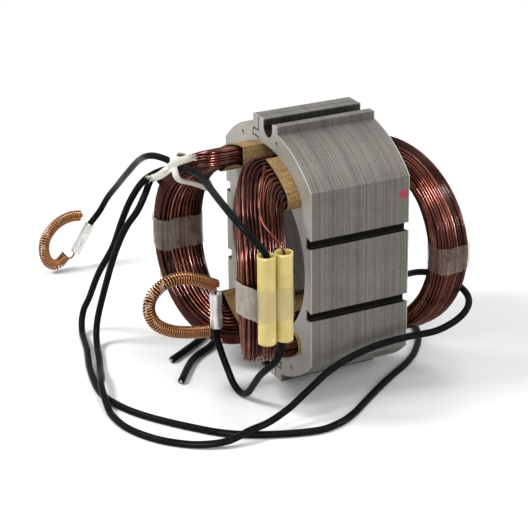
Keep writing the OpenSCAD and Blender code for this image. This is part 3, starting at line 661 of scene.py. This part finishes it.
# an end turn: reach of the inner and outer turns, straight part, powers of the two bends, outer radius
END_FRONT_RIGHT = (10.5, 28.0, 5.6, 1.9, 1.7, 39.5)
END_FRONT_LEFT = (11.5, 29.5, 8.6, 3.0, 2.2, 39.5)
END_BACK = (9.5, 23.2, 4.6, 1.65, 1.65, 41.0)


def end_turn(end, w, d, b):
    """Place (r cos a, y, r sin a) in an end turn: k = (|cos b|^n + |sin b|^n)^(-1/n), a = angle(w) k cos b,
    y = face + straight + (reach(w) - straight) k sin b, and r goes from slot to end turn with (k sin b)^2."""
    window, reach, straight, upper, lower, outer = end
    c, s = np.cos(b), np.abs(np.sin(b))
    power = np.where(c >= 0, upper, lower)
    k = (np.abs(c) ** power + s ** power) ** (-1 / power)
    a = np.radians(blend(WIRE_A0, WIRE_A1, w) * k * c)
    out = k * s
    r = blend(blend(WIRE_R0, WIRE_R1, d), blend(TURNS_R0, outer, d), out ** 2)
    y = FACE + straight + (blend(window, reach, w) - straight) * out
    return np.stack([r * np.cos(a), y, r * np.sin(a)], -1)


def saddle(front, w, d, b):
    """Closed loop of a wire: the front end turn from top to bottom, then the back one from bottom to top."""
    half = w.shape[1] // 2
    near = end_turn(front, w[:, :half], d[:, :half], b) * np.array([1.0, -1.0, 1.0])
    far = end_turn(END_BACK, w[:, half:], d[:, half:], b[::-1])
    return np.concatenate([near, far], axis=1)


def crown(w):
    """Half height of the bundle's outline at w: a rounded square of power 4."""
    return 0.5 * np.clip(1 - np.abs(2 * w - 1) ** 4, 0, None) ** 0.25


def layer(across, deep, inset_w, inset_d):
    """Places (w, d) of the wires in one layer of the bundle: rows on both broad faces, then the two edges."""
    w = blend(0.06, 0.94, (np.arange(across) + 0.5) / across)
    lift = crown(w) - inset_d
    rows = np.linspace(0.22 + inset_d / 2, 0.78 - inset_d / 2, deep)
    outer = np.stack([w, 0.5 + lift], -1)
    inner = np.stack([w, 0.5 - lift], -1)
    ends = np.concatenate([np.stack([np.full(deep, e), rows], -1) for e in (inset_w, 1 - inset_w)])
    return np.concatenate([outer, inner, ends])


# %% Enamel finish
enamel, add, into = finish("enamelled_wire", 0.2, 0.6, Specular_IOR_Level=0.1, Coat_Weight=0.2,
                           Coat_Roughness=0.05, Specular_Tint=(0.9, 0.45, 0.35, 1.0))
# the tone attribute holds each wire's own random tone and a painted highlight along its crest, with painted
# shade at its sides; the ramp's top stop is that painted highlight, and the patch noise varies it along the
# wires
tone = add("ShaderNodeAttribute", attribute_name="tone").outputs["Fac"]
patch = noise(add, place(add), 220.0, detail=5.0)
value = calc(add, "MULTIPLY_ADD", tone, 0.8, calc(add, "MULTIPLY_ADD", patch, 0.5, -0.12))
into("Base Color", ramp(add, value, [
    (0.1, (0.004, 0.0009, 0.0006)), (0.45, (0.034, 0.0065, 0.0038)),
    (0.72, (0.12, 0.031, 0.019)), (0.95, (0.50, 0.25, 0.18)),
]))
into("Roughness", remap(add, patch, 0.12, 0.28))

# the filling is painted near black: painted shade for the inner turns under the outer wires
filling, add, into = finish("bundle_filling", 0.6)
gloom = noise(add, place(add), 400.0)
into("Base Color", ramp(add, gloom, [(0.3, (0.004, 0.0015, 0.001)), (0.7, (0.012, 0.004, 0.003))]))

# %% Wind both coils
HALF_TURN, WIRE_SIDES, FILL_SIDES = 37, 8, 48
WANDER_W, WANDER_D = 0.007, 0.010
FILL_W, FILL_D = 0.43, 0.34


def wind(name, front, mirror, seed):
    """Wires of one coil, each with small waves of its own in w and d, and the filling below them."""
    rng = np.random.default_rng(seed)
    start = np.concatenate([layer(ROWS, 5, 0.036, 0.08), layer(ROWS - 1, 4, 0.10, 0.19)])
    count, stations = len(start), 2 * HALF_TURN
    hand = np.array([mirror, 1.0, 1.0])
    b = np.radians(np.linspace(0, 180, HALF_TURN))
    s = np.linspace(0, 2 * np.pi, stations)[None, :]
    phase = rng.uniform(0, 2 * np.pi, (count, 4, 1))
    size = rng.uniform(0.3, 1.0, (count, 4, 1))
    waves = [size[:, k] * np.sin(n * s + phase[:, k]) for k, n in enumerate((2, 5, 3, 4))]
    w = start[:, :1] + WANDER_W * (waves[0] + waves[1])
    d = start[:, 1:] + WANDER_D * (waves[2] + waves[3])
    lines = saddle(front, w, d, b) * hand
    middle = saddle(front, np.full_like(w, 0.5), np.full_like(d, 0.5), b) * hand
    heading = closed_heading(lines, 1)
    side = square_to(heading, lines - middle)
    points = round_line(lines, WIRE_D / 2 * side, WIRE_D / 2 * np.cross(heading, side), WIRE_SIDES)
    # painted highlight along each wire's outer crest and painted shade at its sides, with a random tone per
    # wire
    painted_crest_highlight = np.clip(np.cos(circle(WIRE_SIDES)), 0, None) ** 4
    shade = np.broadcast_to(0.45 * rng.uniform(0, 1, (count, 1, 1)) + 0.55 * painted_crest_highlight, points.shape[:3])
    add_piece(name + "_wires", points, enamel, "enamelled_wire", closed=True, tone=shade, weld=False,
              replaces=[name])

    turn = circle(FILL_SIDES)
    outline = np.stack([np.cos(turn), np.sin(turn)], -1)
    outline = np.sign(outline) * np.abs(outline) ** 0.5
    w = np.repeat(0.5 + FILL_W * outline[:, :1], stations, axis=1)
    d = np.repeat(0.5 + FILL_D * outline[:, 1:], stations, axis=1)
    body = (saddle(front, w, d, b) * hand).transpose(1, 0, 2)
    add_piece(name + "_filling", body, filling, "enamelled_wire", closed=True)


wind("coil_right", END_FRONT_RIGHT, 1.0, 11)
wind("coil_left", END_FRONT_LEFT, -1.0, 12)

# %% [markdown]
# The start and finish of each coil lie on the outer turns and go into the sleeves. They are single wires.

# %% Coil ends
TAIL_WIRE, TAIL_LIFT, TAIL_SIDES, TAIL_SIDE = 1.15, 0.3, 10, (0.2, 1.0, 0.3)
TAIL_D = 1 + (TAIL_WIRE / 2 + TAIL_LIFT) / (END_FRONT_RIGHT[-1] - TURNS_R0)
BEND_UPPER = [(5.7, -2.3, 5.2), (1.8, -0.9, 2.6)]
BEND_LOWER = [(7.4, 0.6, 8.6), (3.0, 0.1, 6.0), (0.4, 0.0, 3.0)]
BEND_LEFT = [(6.0, 0.4, 4.5), (2.5, 0.1, 3.4), (0.4, 0.0, 1.6)]


def tail(side, end, on_coil, row, up, bend):
    """Places of a coil end, all at X > 0: on the bundle's outer side at (w, b), over a bend, into a sleeve."""
    on_it = [tuple(end_turn(end, w, TAIL_D, np.radians(b)) * [1, -1, 1]) for w, b in on_coil]
    mouth = SLEEVE_Z[side] + up * SLEEVE_LEN / 2
    over = [(SLEEVE_X - p, SLEEVE_Y[row] + q, mouth + up * r) for p, q, r in bend]
    return on_it + over + [(abs(x), y, z) for x, y, z in from_splice(side, row, up)[::-1]]


TAILS = {
    "tails_right": (1.0, [
        tail(1, END_FRONT_RIGHT, [(0.66, 6), (0.55, 25), (0.58, 41.5), (0.58, 53)], "inner", 1, BEND_UPPER),
        tail(1, END_FRONT_RIGHT, [(0.75, 126)], "outer", -1, BEND_LOWER),
    ]),
    "tails_left": (-1.0, [
        tail(-1, END_FRONT_LEFT, [(0.26, 136)], "inner", -1, BEND_LEFT),
        tail(-1, END_FRONT_LEFT, [(0.6, 126)], "outer", -1, BEND_LEFT),
    ]),
}
for name, (mirror, routes) in TAILS.items():
    paths = [smooth_route(route, ROUTE_STEPS) * [mirror, 1, 1] for route in routes]
    points, faces = joined([closed_tube(path, TAIL_SIDE, TAIL_WIRE / 2, TAIL_SIDES)[1] for path in paths])
    add_piece(name + "_wire", points, enamel, "enamelled_wire", faces, tone=np.full(len(points), 0.6),
              replaces=[name])

# %% [markdown]
# ## Slot liners
#
# The liners are folded insulating paper. Their solids stay, with a tan finish whose speckles and long fibres
# come from two scales of noise.

# %% Liner paper
liner_paper, add, into = finish("liner_paper", 0.78)
spot = place(add)
fibre = noise(add, stretched(add, spot, (1.0, 0.25, 1.0)), 900.0, detail=6.0)
speck = noise(add, spot, 2600.0, detail=2.0)
base = ramp(add, fibre, [(0.3, (0.205, 0.119, 0.041)), (0.7, (0.375, 0.234, 0.088))])
dark = ramp(add, speck, [(0.36, (0.24, 0.19, 0.13)), (0.50, (1.0, 1.0, 1.0))])
into("Base Color", mix(add, 1.0, base, dark, "MULTIPLY"))
bump(add, into, fibre, 0.25, 0.0001)
dress(liner_paper, "liner_top_right", "liner_bottom_right", "liner_top_left", "liner_bottom_left")

# %% [markdown]
# ## Splices
#
# A splice is a crimp barrel in a pale yellow sleeve that lies on the end turns. The sleeve is cut from tube,
# so its mouth flares a little. Its wall is a profile turned round the axis: up the outside, over the rim and
# down the inside.

# %% Sleeves and crimp barrels
SLEEVE_R, SLEEVE_WALL, SLEEVE_INSET = 3.25, 0.6, 0.1
SLEEVE_RINGS, SLEEVE_SIDES = 30, 40
FLARE, FLARE_LEN, FLARE_BELOW = 0.14, 1.6, 0.4
LEAN = {"outer": 1.2, "inner": 0.3}
sleeve_yellow, add, into = finish("sleeve_yellow", 0.38, Subsurface_Weight=0.08)
spot = place(add)
cloud = noise(add, spot, 130.0, detail=5.0)
into("Base Color", ramp(add, cloud, [(0.3, (0.60, 0.445, 0.130)), (0.7, (0.74, 0.590, 0.210))]))
into("Roughness", remap(add, noise(add, spot, 900.0), 0.3, 0.5))
bump(add, into, cloud, 0.15, 0.0006)


def sleeve(name, side, y, lean):
    """Wall of a tube: outer radius R + flare e^(-distance to the end), and the same less the wall inside;
    the section is a slight oval turned by lean."""
    z = both_ways(SLEEVE_RINGS) * SLEEVE_LEN
    inside = np.repeat([0.0, 1.0], SLEEVE_RINGS)
    flare = FLARE * np.exp(-(SLEEVE_LEN / 2 - np.abs(z)) / FLARE_LEN) * np.where(z > 0, 1.0, FLARE_BELOW)
    r = (SLEEVE_R - SLEEVE_WALL * inside + flare - SLEEVE_INSET)[:, None]
    u = circle(SLEEVE_SIDES)[None, :]
    oval = 1 + 0.022 * np.cos(2 * (u - lean)) + 0.006 * np.sin(3 * u + 0.25 * z[:, None])
    points = np.stack([
        side * SLEEVE_X + r * oval * np.cos(u), y + r * oval * np.sin(u), SLEEVE_Z[side] + z[:, None] + 0 * u
    ], -1)
    add_piece(name + "_tube", points, sleeve_yellow, "sleeve_yellow", closed=True, replaces=[name])


for side_name, side in (("right", 1), ("left", -1)):
    for row, y in SLEEVE_Y.items():
        sleeve(f"sleeve_{side_name}_{row}", side, y, LEAN[row])

tinned, add, into = finish("tinned_metal", 0.3, 0.7)
rub = noise(add, place(add), 600.0, detail=7.0)
into("Base Color", ramp(add, rub, [(0.3, (0.70, 0.695, 0.67)), (0.7, (0.90, 0.895, 0.87))]))
into("Roughness", remap(add, rub, 0.2, 0.48))
bump(add, into, rub, 0.2, 0.0001)
dress(tinned, "barrel_right_outer", "barrel_right_inner", "barrel_left_outer", "barrel_left_inner")

# %% [markdown]
# ## Tapes
#
# Thin film is wound round each end turn at mid height, and in front it holds the sleeves too. Its outline is
# the tightest band round a set of circles: at each heading n, take the circle that lies furthest that way and
# add its radius along n. The film is partly clear, with milky clouds and creases, and its two skins share the
# alpha.

# %% Tape film
FILM_FADE = (39.5 * MM, 44.5 * MM)


def film(name, colour, low, high, fold, thin):
    """Clear film: the alpha goes from low to high with clouds and upright streaks, and falls by the factor thin
    over the sleeves, along X; fold is the strength of the upright creases."""
    material, add, into = finish(name, 0.2, Specular_IOR_Level=0.5)
    where = place(add, "UV")
    cloud = noise(add, where, 0.22, detail=5.0, roughness=0.5)
    crease = noise(add, stretched(add, where, (1.0, 0.12, 1.0)), 0.7, detail=3.0)
    into("Base Color", ramp(add, cloud, [(0.3, tuple(0.85 * c for c in colour)), (0.7, colour)]))
    streak = calc(add, "MULTIPLY_ADD", crease, 0.6, calc(add, "MULTIPLY", cloud, 0.4))
    milk = remap(add, streak, low, high, 0.35, 0.65)
    x = add("ShaderNodeSeparateXYZ", {0: place(add)}).outputs["X"]
    into("Alpha", calc(add, "MULTIPLY", milk, remap(add, x, 1.0, thin, *FILM_FADE)))
    into("Roughness", remap(add, crease, 0.10, 0.32))
    bump(add, into, crease, fold, 0.0008)
    return material


tape_beige = film("tape_beige", (0.50, 0.43, 0.355), 0.42, 0.66, 0.3, 0.2)
tape_clear = film("tape_clear", (0.36, 0.29, 0.25), 0.05, 0.25, 0.7, 1.0)
tape_milky = film("tape_milky", (0.44, 0.37, 0.32), 0.06, 0.42, 0.8, 1.0)
TAPE_OFF, FILM_T, CORNER, HEM = 0.42, 0.14, 3.0, 0.8
TAPE_POINTS, TAPE_ROWS = 220, 22
RIPPLE, EDGE_WAVE = 0.03, 0.18


def band_outline(circles, count):
    """Tightest band round circles (x, y, r): at each heading n it is centre + r n of the furthest circle,
    then spread evenly along its length."""
    turn = np.linspace(0, 2 * np.pi, 2881)
    n = np.stack([np.cos(turn), np.sin(turn)], -1)
    far = circles[:, :2] @ n.T + circles[:, 2:]
    best = far.argmax(0)
    line = circles[best, :2] + circles[best, 2:] * n
    s = travel(line)
    even = np.linspace(0, s[-1], count, endpoint=False)
    return np.stack([np.interp(even, s, line[:, k]) for k in (0, 1)], -1), s[-1]


def tape(name, end, direction, width, mirror, sleeves, material, slot, seed):
    """Band of film: its outline, with small waves outwards and along its edges, as two skins."""
    window, reach, outer = end[0], end[1], end[-1]
    x0 = np.sqrt(TURNS_R0 ** 2 - width ** 2 / 4) + CORNER
    y0, y1 = sorted((direction * (FACE + window), direction * (FACE + reach)))
    circles = [(x, y, CORNER + TAPE_OFF) for x in (x0, outer - CORNER) for y in (y0 + CORNER, y1 - CORNER)]
    if sleeves:
        circles += [(SLEEVE_X, y, SLEEVE_R + TAPE_OFF) for y in SLEEVE_Y.values()]
    line, length = band_outline(np.array(circles), TAPE_POINTS)
    normal = closed_heading(line)[:, ::-1] * np.array([1.0, -1.0])
    p = np.random.default_rng(seed).uniform(0, 2 * np.pi, 6)
    u = circle(TAPE_POINTS)[None, :]
    v = both_ways(TAPE_ROWS)[:, None]
    skin = np.repeat([0.5, -0.5], TAPE_ROWS)[:, None] * FILM_T
    wave = np.sin(5 * u + p[0] + 2 * v) + np.sin(9 * u + p[1] - 5 * v) + np.sin(7 * v + p[2] + 2 * u)
    edge = EDGE_WAVE * (np.sin(4 * u + p[3]) + 0.6 * np.sin(11 * u + p[4])) * np.abs(2 * v)
    x, y = (line[None, :, k] + normal[None, :, k] * (RIPPLE * wave + skin) for k in (0, 1))
    z = v * (width - HEM) + edge
    points = np.stack([mirror * x, y, z], -1)
    uv = np.stack([u / (2 * np.pi) * length + 0 * v, z], -1)
    add_piece(name + "_film", points, material, slot, closed=True, uv=uv, replaces=[name])


tape("tape_front_right", END_FRONT_RIGHT, -1, 13.0, 1.0, True, tape_beige, "tape_beige", 21)
tape("tape_back_right", END_BACK, 1, 11.0, 1.0, False, tape_clear, "tape_clear", 22)
tape("tape_front_left", END_FRONT_LEFT, -1, 13.0, -1.0, True, tape_milky, "tape_clear", 23)
tape("tape_back_left", END_BACK, 1, 11.0, -1.0, False, tape_clear, "tape_clear", 24)

# %% [markdown]
# ## Brush rings
#
# A brush ring is a close spring of copper wire bent round, so it can stretch over a brush holder. The spring is
# a true helix: it turns about a middle line in the plane of the ring, and its phase grows with the distance
# travelled.

# %% Springs
SPRING_D, SPRING_WIRE, SPRING_SIDES = 4.8, 0.8, 8
FINE_STEPS, PER_TURN = 4000, 20
spring_copper, add, into = finish("spring_copper", 0.22, 1.0)
tarnish = noise(add, place(add), 350.0, detail=6.0)
# the tone attribute is a painted highlight on the outer side of each turn and painted shade on its inner side;
# the tarnish noise varies it
tone = add("ShaderNodeAttribute", attribute_name="tone").outputs["Fac"]
value = calc(add, "MULTIPLY_ADD", tone, 0.6, calc(add, "MULTIPLY", tarnish, 0.4))
into("Base Color", ramp(add, value, [
    (0.2, (0.020, 0.007, 0.0033)), (0.5, (0.115, 0.044, 0.0170)), (0.85, (0.42, 0.200, 0.088)),
]))
into("Roughness", remap(add, tarnish, 0.12, 0.3))


def spring(name, x, route, end, close, open_):
    """Helix c(s) + R (cos p X + sin p n): n is square to the ring's line in its plane, and the phase p grows by
    a turn per pitch. The pitch goes from close at the two ends to open in the middle."""
    flat = smooth_route(route, 40)
    s = travel(flat)
    even = np.linspace(0, s[-1], FINE_STEPS)
    middle = np.stack([np.full(FINE_STEPS, x)] + [np.interp(even, s, flat[:, k]) for k in (0, 1)], -1)
    pitch = blend(close, open_, np.sin(np.pi * even / s[-1]) ** 2)
    phase = np.concatenate([[0], np.cumsum(np.diff(even) * 2 * np.pi / pitch[1:])])
    turns = phase[-1] / (2 * np.pi)
    p = np.linspace(0, phase[-1], int(turns * PER_TURN))
    pick = np.interp(p, phase, even)
    centre = np.stack([np.interp(pick, even, middle[:, k]) for k in range(3)], -1)
    across = np.array([1.0, 0.0, 0.0])
    normal = np.cross(unit(np.gradient(centre, axis=0)), across)
    out = np.cos(p)[:, None] * across + np.sin(p)[:, None] * normal
    coil = centre + (SPRING_D - SPRING_WIRE) / 2 * out
    wire = tube(*capped(coil, out, SPRING_WIRE / 2), SPRING_SIDES)
    lead_in = smooth_route([(x, *q) for q in end], 12)
    stub = tube(*capped(lead_in, carried_side(lead_in, across), SPRING_WIRE / 2), SPRING_SIDES)
    points, faces = joined([wire, stub])
    # painted highlight on the outer side of each turn, painted shade on the inner side; the straight end is a
    # flat middle tone
    outward = 0.5 + 0.5 * np.cos(circle(SPRING_SIDES))
    shade = np.concatenate([np.tile(outward, len(wire)), np.full(len(stub) * SPRING_SIDES, 0.7)])
    print(name, "turns", round(turns, 1))
    return add_piece(name + "_helix", points, spring_copper, "spring_copper", faces, tone=shade,
                     replaces=[name])


helix_left = spring(
    "spring_ring_left", FERRULES["left"][0], [
        (-46.2, -26.2), (-51.5, -26), (-57.5, -28.4), (-62.2, -33.6),
        (-63.3, -39.6), (-61.6, -44.8), (-57.8, -46.4), (-53.8, -43.2),
    ], [
        (-54.4, -43.8), (-52.4, -44.8), (-50.8, -44.3), (-49.7, -42.6),
        on_ferrule("left", FERRULE_LEN - FERRULE_BORE)[0][1:],
    ], 0.84, 1.0)
helix_front = spring(
    "spring_ring_front", FERRULES["front"][0], [
        (-41.2, -10.2), (-47.4, -7), (-54, -4.6), (-61, -5.2), (-66.3, -9),
        (-67.9, -14.4), (-65.6, -20.2), (-60.2, -24.2), (-53, -26.6), (-44.6, -28),
    ], [
        (-42.4, -9.8), (-41.3, -10.4), (-41.3, -12.6), on_ferrule("front", FERRULE_BORE)[0][1:],
    ], 0.88, 1.08)

# %% [markdown]
# The ferrule is a bright metal tube, pinched in the middle where it is closed on the wires. Its radius dips
# there, more on two opposite sides than on the others.

# %% Ferrules
FERRULE_R, FERRULE_HOLE, FERRULE_RIM, CHAMFER = 2.3, 1.45, 2.1, 0.3
FERRULE_RINGS, FERRULE_SIDES = 30, 36
PINCH, PINCH_LEN = 0.4, 2.4


def ferrule(name, which):
    """Turned profile from one bore floor, over the outside, to the other; the pinch is a smooth dip at mid
    length."""
    x, top, tilt = FERRULES[which]
    mouth_r = np.array([TIP, FERRULE_HOLE, FERRULE_HOLE, FERRULE_RIM])
    mouth_z = np.array([-FERRULE_BORE, -FERRULE_BORE, 0.0, 0.0])
    side_z = np.linspace(-CHAMFER, CHAMFER - FERRULE_LEN, FERRULE_RINGS)
    r = np.concatenate([mouth_r, np.full(FERRULE_RINGS, FERRULE_R), mouth_r[::-1]])[:, None]
    z = np.concatenate([mouth_z, side_z, -FERRULE_LEN - mouth_z[::-1]])[:, None]
    u = circle(FERRULE_SIDES)[None, :]
    pinch = np.exp(-((z + FERRULE_LEN / 2) / PINCH_LEN) ** 4) * (r == FERRULE_R)
    radius = r - PINCH * pinch * (0.65 + 0.35 * np.cos(2 * u))
    c, s = np.cos(np.radians(tilt)), np.sin(np.radians(tilt))
    across, along = radius * np.cos(u), radius * np.sin(u)
    points = np.stack([x + across, top[0] + along * c - z * s, top[1] + along * s + z * c], -1)
    return add_piece(name + "_shell", points, tinned, "tinned_metal", replaces=[name])


shell_left = ferrule("ferrule_left", "left")
shell_front = ferrule("ferrule_front", "front")

# %% [markdown]
# ## Lacing tie
#
# A white flat cord is tied round the far coil's upper bend and over a lead. Its loop follows the bundle's own
# outline, grown outwards. The knot is a closed curve that crosses itself three times, and the two ends are
# straps that fray into fibres.

# %% Lacing cord
TIE_B = np.radians(50.0)
TIE_W, TIE_D = (-0.1, 1.24), (-0.16, 1.17)
LOOP_POINTS, KNOT_POINTS, CORD_SIDES = 96, 120, 12
CORD_THICK, CORD_WIDE = 0.55, 1.25
KNOT_SIZE, KNOT_R, KNOT_ASIDE = 0.42, 0.62, np.array([0.31, 0.52, 0.79])
STRAP_R, STRAP_FLAT, STRAP_SIDES, STRAP_SIDE = 1.55, 0.28, 16, (0.4, 0.2, 1.0)
FIBRES, FIBRE_SIDES, FIBRE_RADII = 26, 5, np.linspace(0.11, 0.05, 6)
lacing, add, into = finish("lacing_cord", 0.75)
thread = noise(add, stretched(add, place(add), (1.0, 1.0, 2.5)), 1500.0, detail=4.0)
into("Base Color", ramp(add, thread, [(0.3, (0.68, 0.645, 0.55)), (0.65, (0.90, 0.88, 0.81))]))
bump(add, into, thread, 0.6, 0.0003)


def squarer(q):
    """From 0 to 1 while q goes from -1 to 1, as 0.5 + 0.5 sign(q) sqrt|q|: it makes a circle squarer."""
    return 0.5 + 0.5 * np.sign(q) * np.sqrt(np.abs(q))


turn = circle(LOOP_POINTS)
w, d = blend(*TIE_W, squarer(np.cos(turn))), blend(*TIE_D, squarer(np.sin(turn)))
loop = end_turn(END_FRONT_LEFT, w, d, TIE_B) * np.array([-1.0, -1.0, 1.0])
heading = closed_heading(loop)
out = square_to(heading, loop - (loop[0] + loop[LOOP_POINTS // 2]) / 2)
loop_points = round_line(loop, CORD_THICK * out, CORD_WIDE * np.cross(heading, out), CORD_SIDES)
add_piece("lacing_loop", loop_points, lacing, "lacing_cord", closed=True, weld=False, replaces=["lacing_tie"])

TIE_ENDS = loop[0] + np.array([
    (4.4, 4.6, 4.4), (0.9, 0.4, 2.2), (-2, -1.6, -1), (-5.1, -3.6, -4), (-8.6, -4.8, -6),
])
t = circle(KNOT_POINTS)
knot = np.stack([np.sin(t) + 2 * np.sin(2 * t), np.cos(t) - 2 * np.cos(2 * t), -np.sin(3 * t)], -1)
knot = knot * KNOT_SIZE + TIE_ENDS[2] + [0, 0.2, 0]
heading = closed_heading(knot)
side = unit(np.cross(heading, KNOT_ASIDE))
knot_points = round_line(knot, KNOT_R * side, KNOT_R * np.cross(heading, side), CORD_SIDES)
add_piece("lacing_knot", knot_points, lacing, "lacing_cord", closed=True, weld=False)

strap_path = smooth_route(TIE_ENDS, 12)
strap_points = closed_tube(strap_path, STRAP_SIDE, STRAP_R, STRAP_SIDES, STRAP_FLAT)[1]
add_piece("lacing_ends", strap_points, lacing, "lacing_cord")


def fray(name, tip, heading, spread, seed):
    """Fine fibres from the end of a strap: each starts in the strap and bends away by a small random amount."""
    rng = np.random.default_rng(seed)
    side = unit(np.cross(heading, spread))
    start = tip + np.outer(rng.uniform(-1.3, 1.3, FIBRES), spread) - heading * 0.6
    lean = np.outer(rng.normal(0, 0.22, FIBRES), spread) + np.outer(rng.normal(0, 0.22, FIBRES), side)
    steps = np.linspace(0, 1, len(FIBRE_RADII))[None, :, None]
    reach = steps * rng.uniform(1.6, 3.2, FIBRES)[:, None, None]
    lines = start[:, None, :] + reach * heading + reach ** 2 * 0.35 * lean[:, None, :]
    shells = tube(*capped(lines, np.broadcast_to(side, lines.shape), FIBRE_RADII), FIBRE_SIDES)
    add_piece(name, shells, lacing, "lacing_cord")


strap_heading = unit(np.gradient(strap_path, axis=0))
strap_side = carried_side(strap_path, STRAP_SIDE)
fray("lacing_fray_upper", strap_path[0], -strap_heading[0], strap_side[0], 31)
fray("lacing_fray_lower", strap_path[-1], strap_heading[-1], strap_side[-1], 32)

# %% [markdown]
# ## Cords
#
# The table lists what each lead ends in: a brush lead ends in its ring and ferrule, a supply lead in its own
# cut strands. The length of each lead is printed.

CORD_FACTS = {
    "lead_brush_left": ("connector", [helix_left, shell_left]),
    "lead_brush_front": ("connector", [helix_front, shell_front]),
    "lead_supply_right": ("bare", [strands_right]),
    "lead_supply_left": ("bare", [strands_left]),
}
for lead_name, (far_end, on_it) in CORD_FACTS.items():
    skin, line = lead_pieces[lead_name]
    print(lead_name, "length", round(travel(line)[-1], 1), "mm")
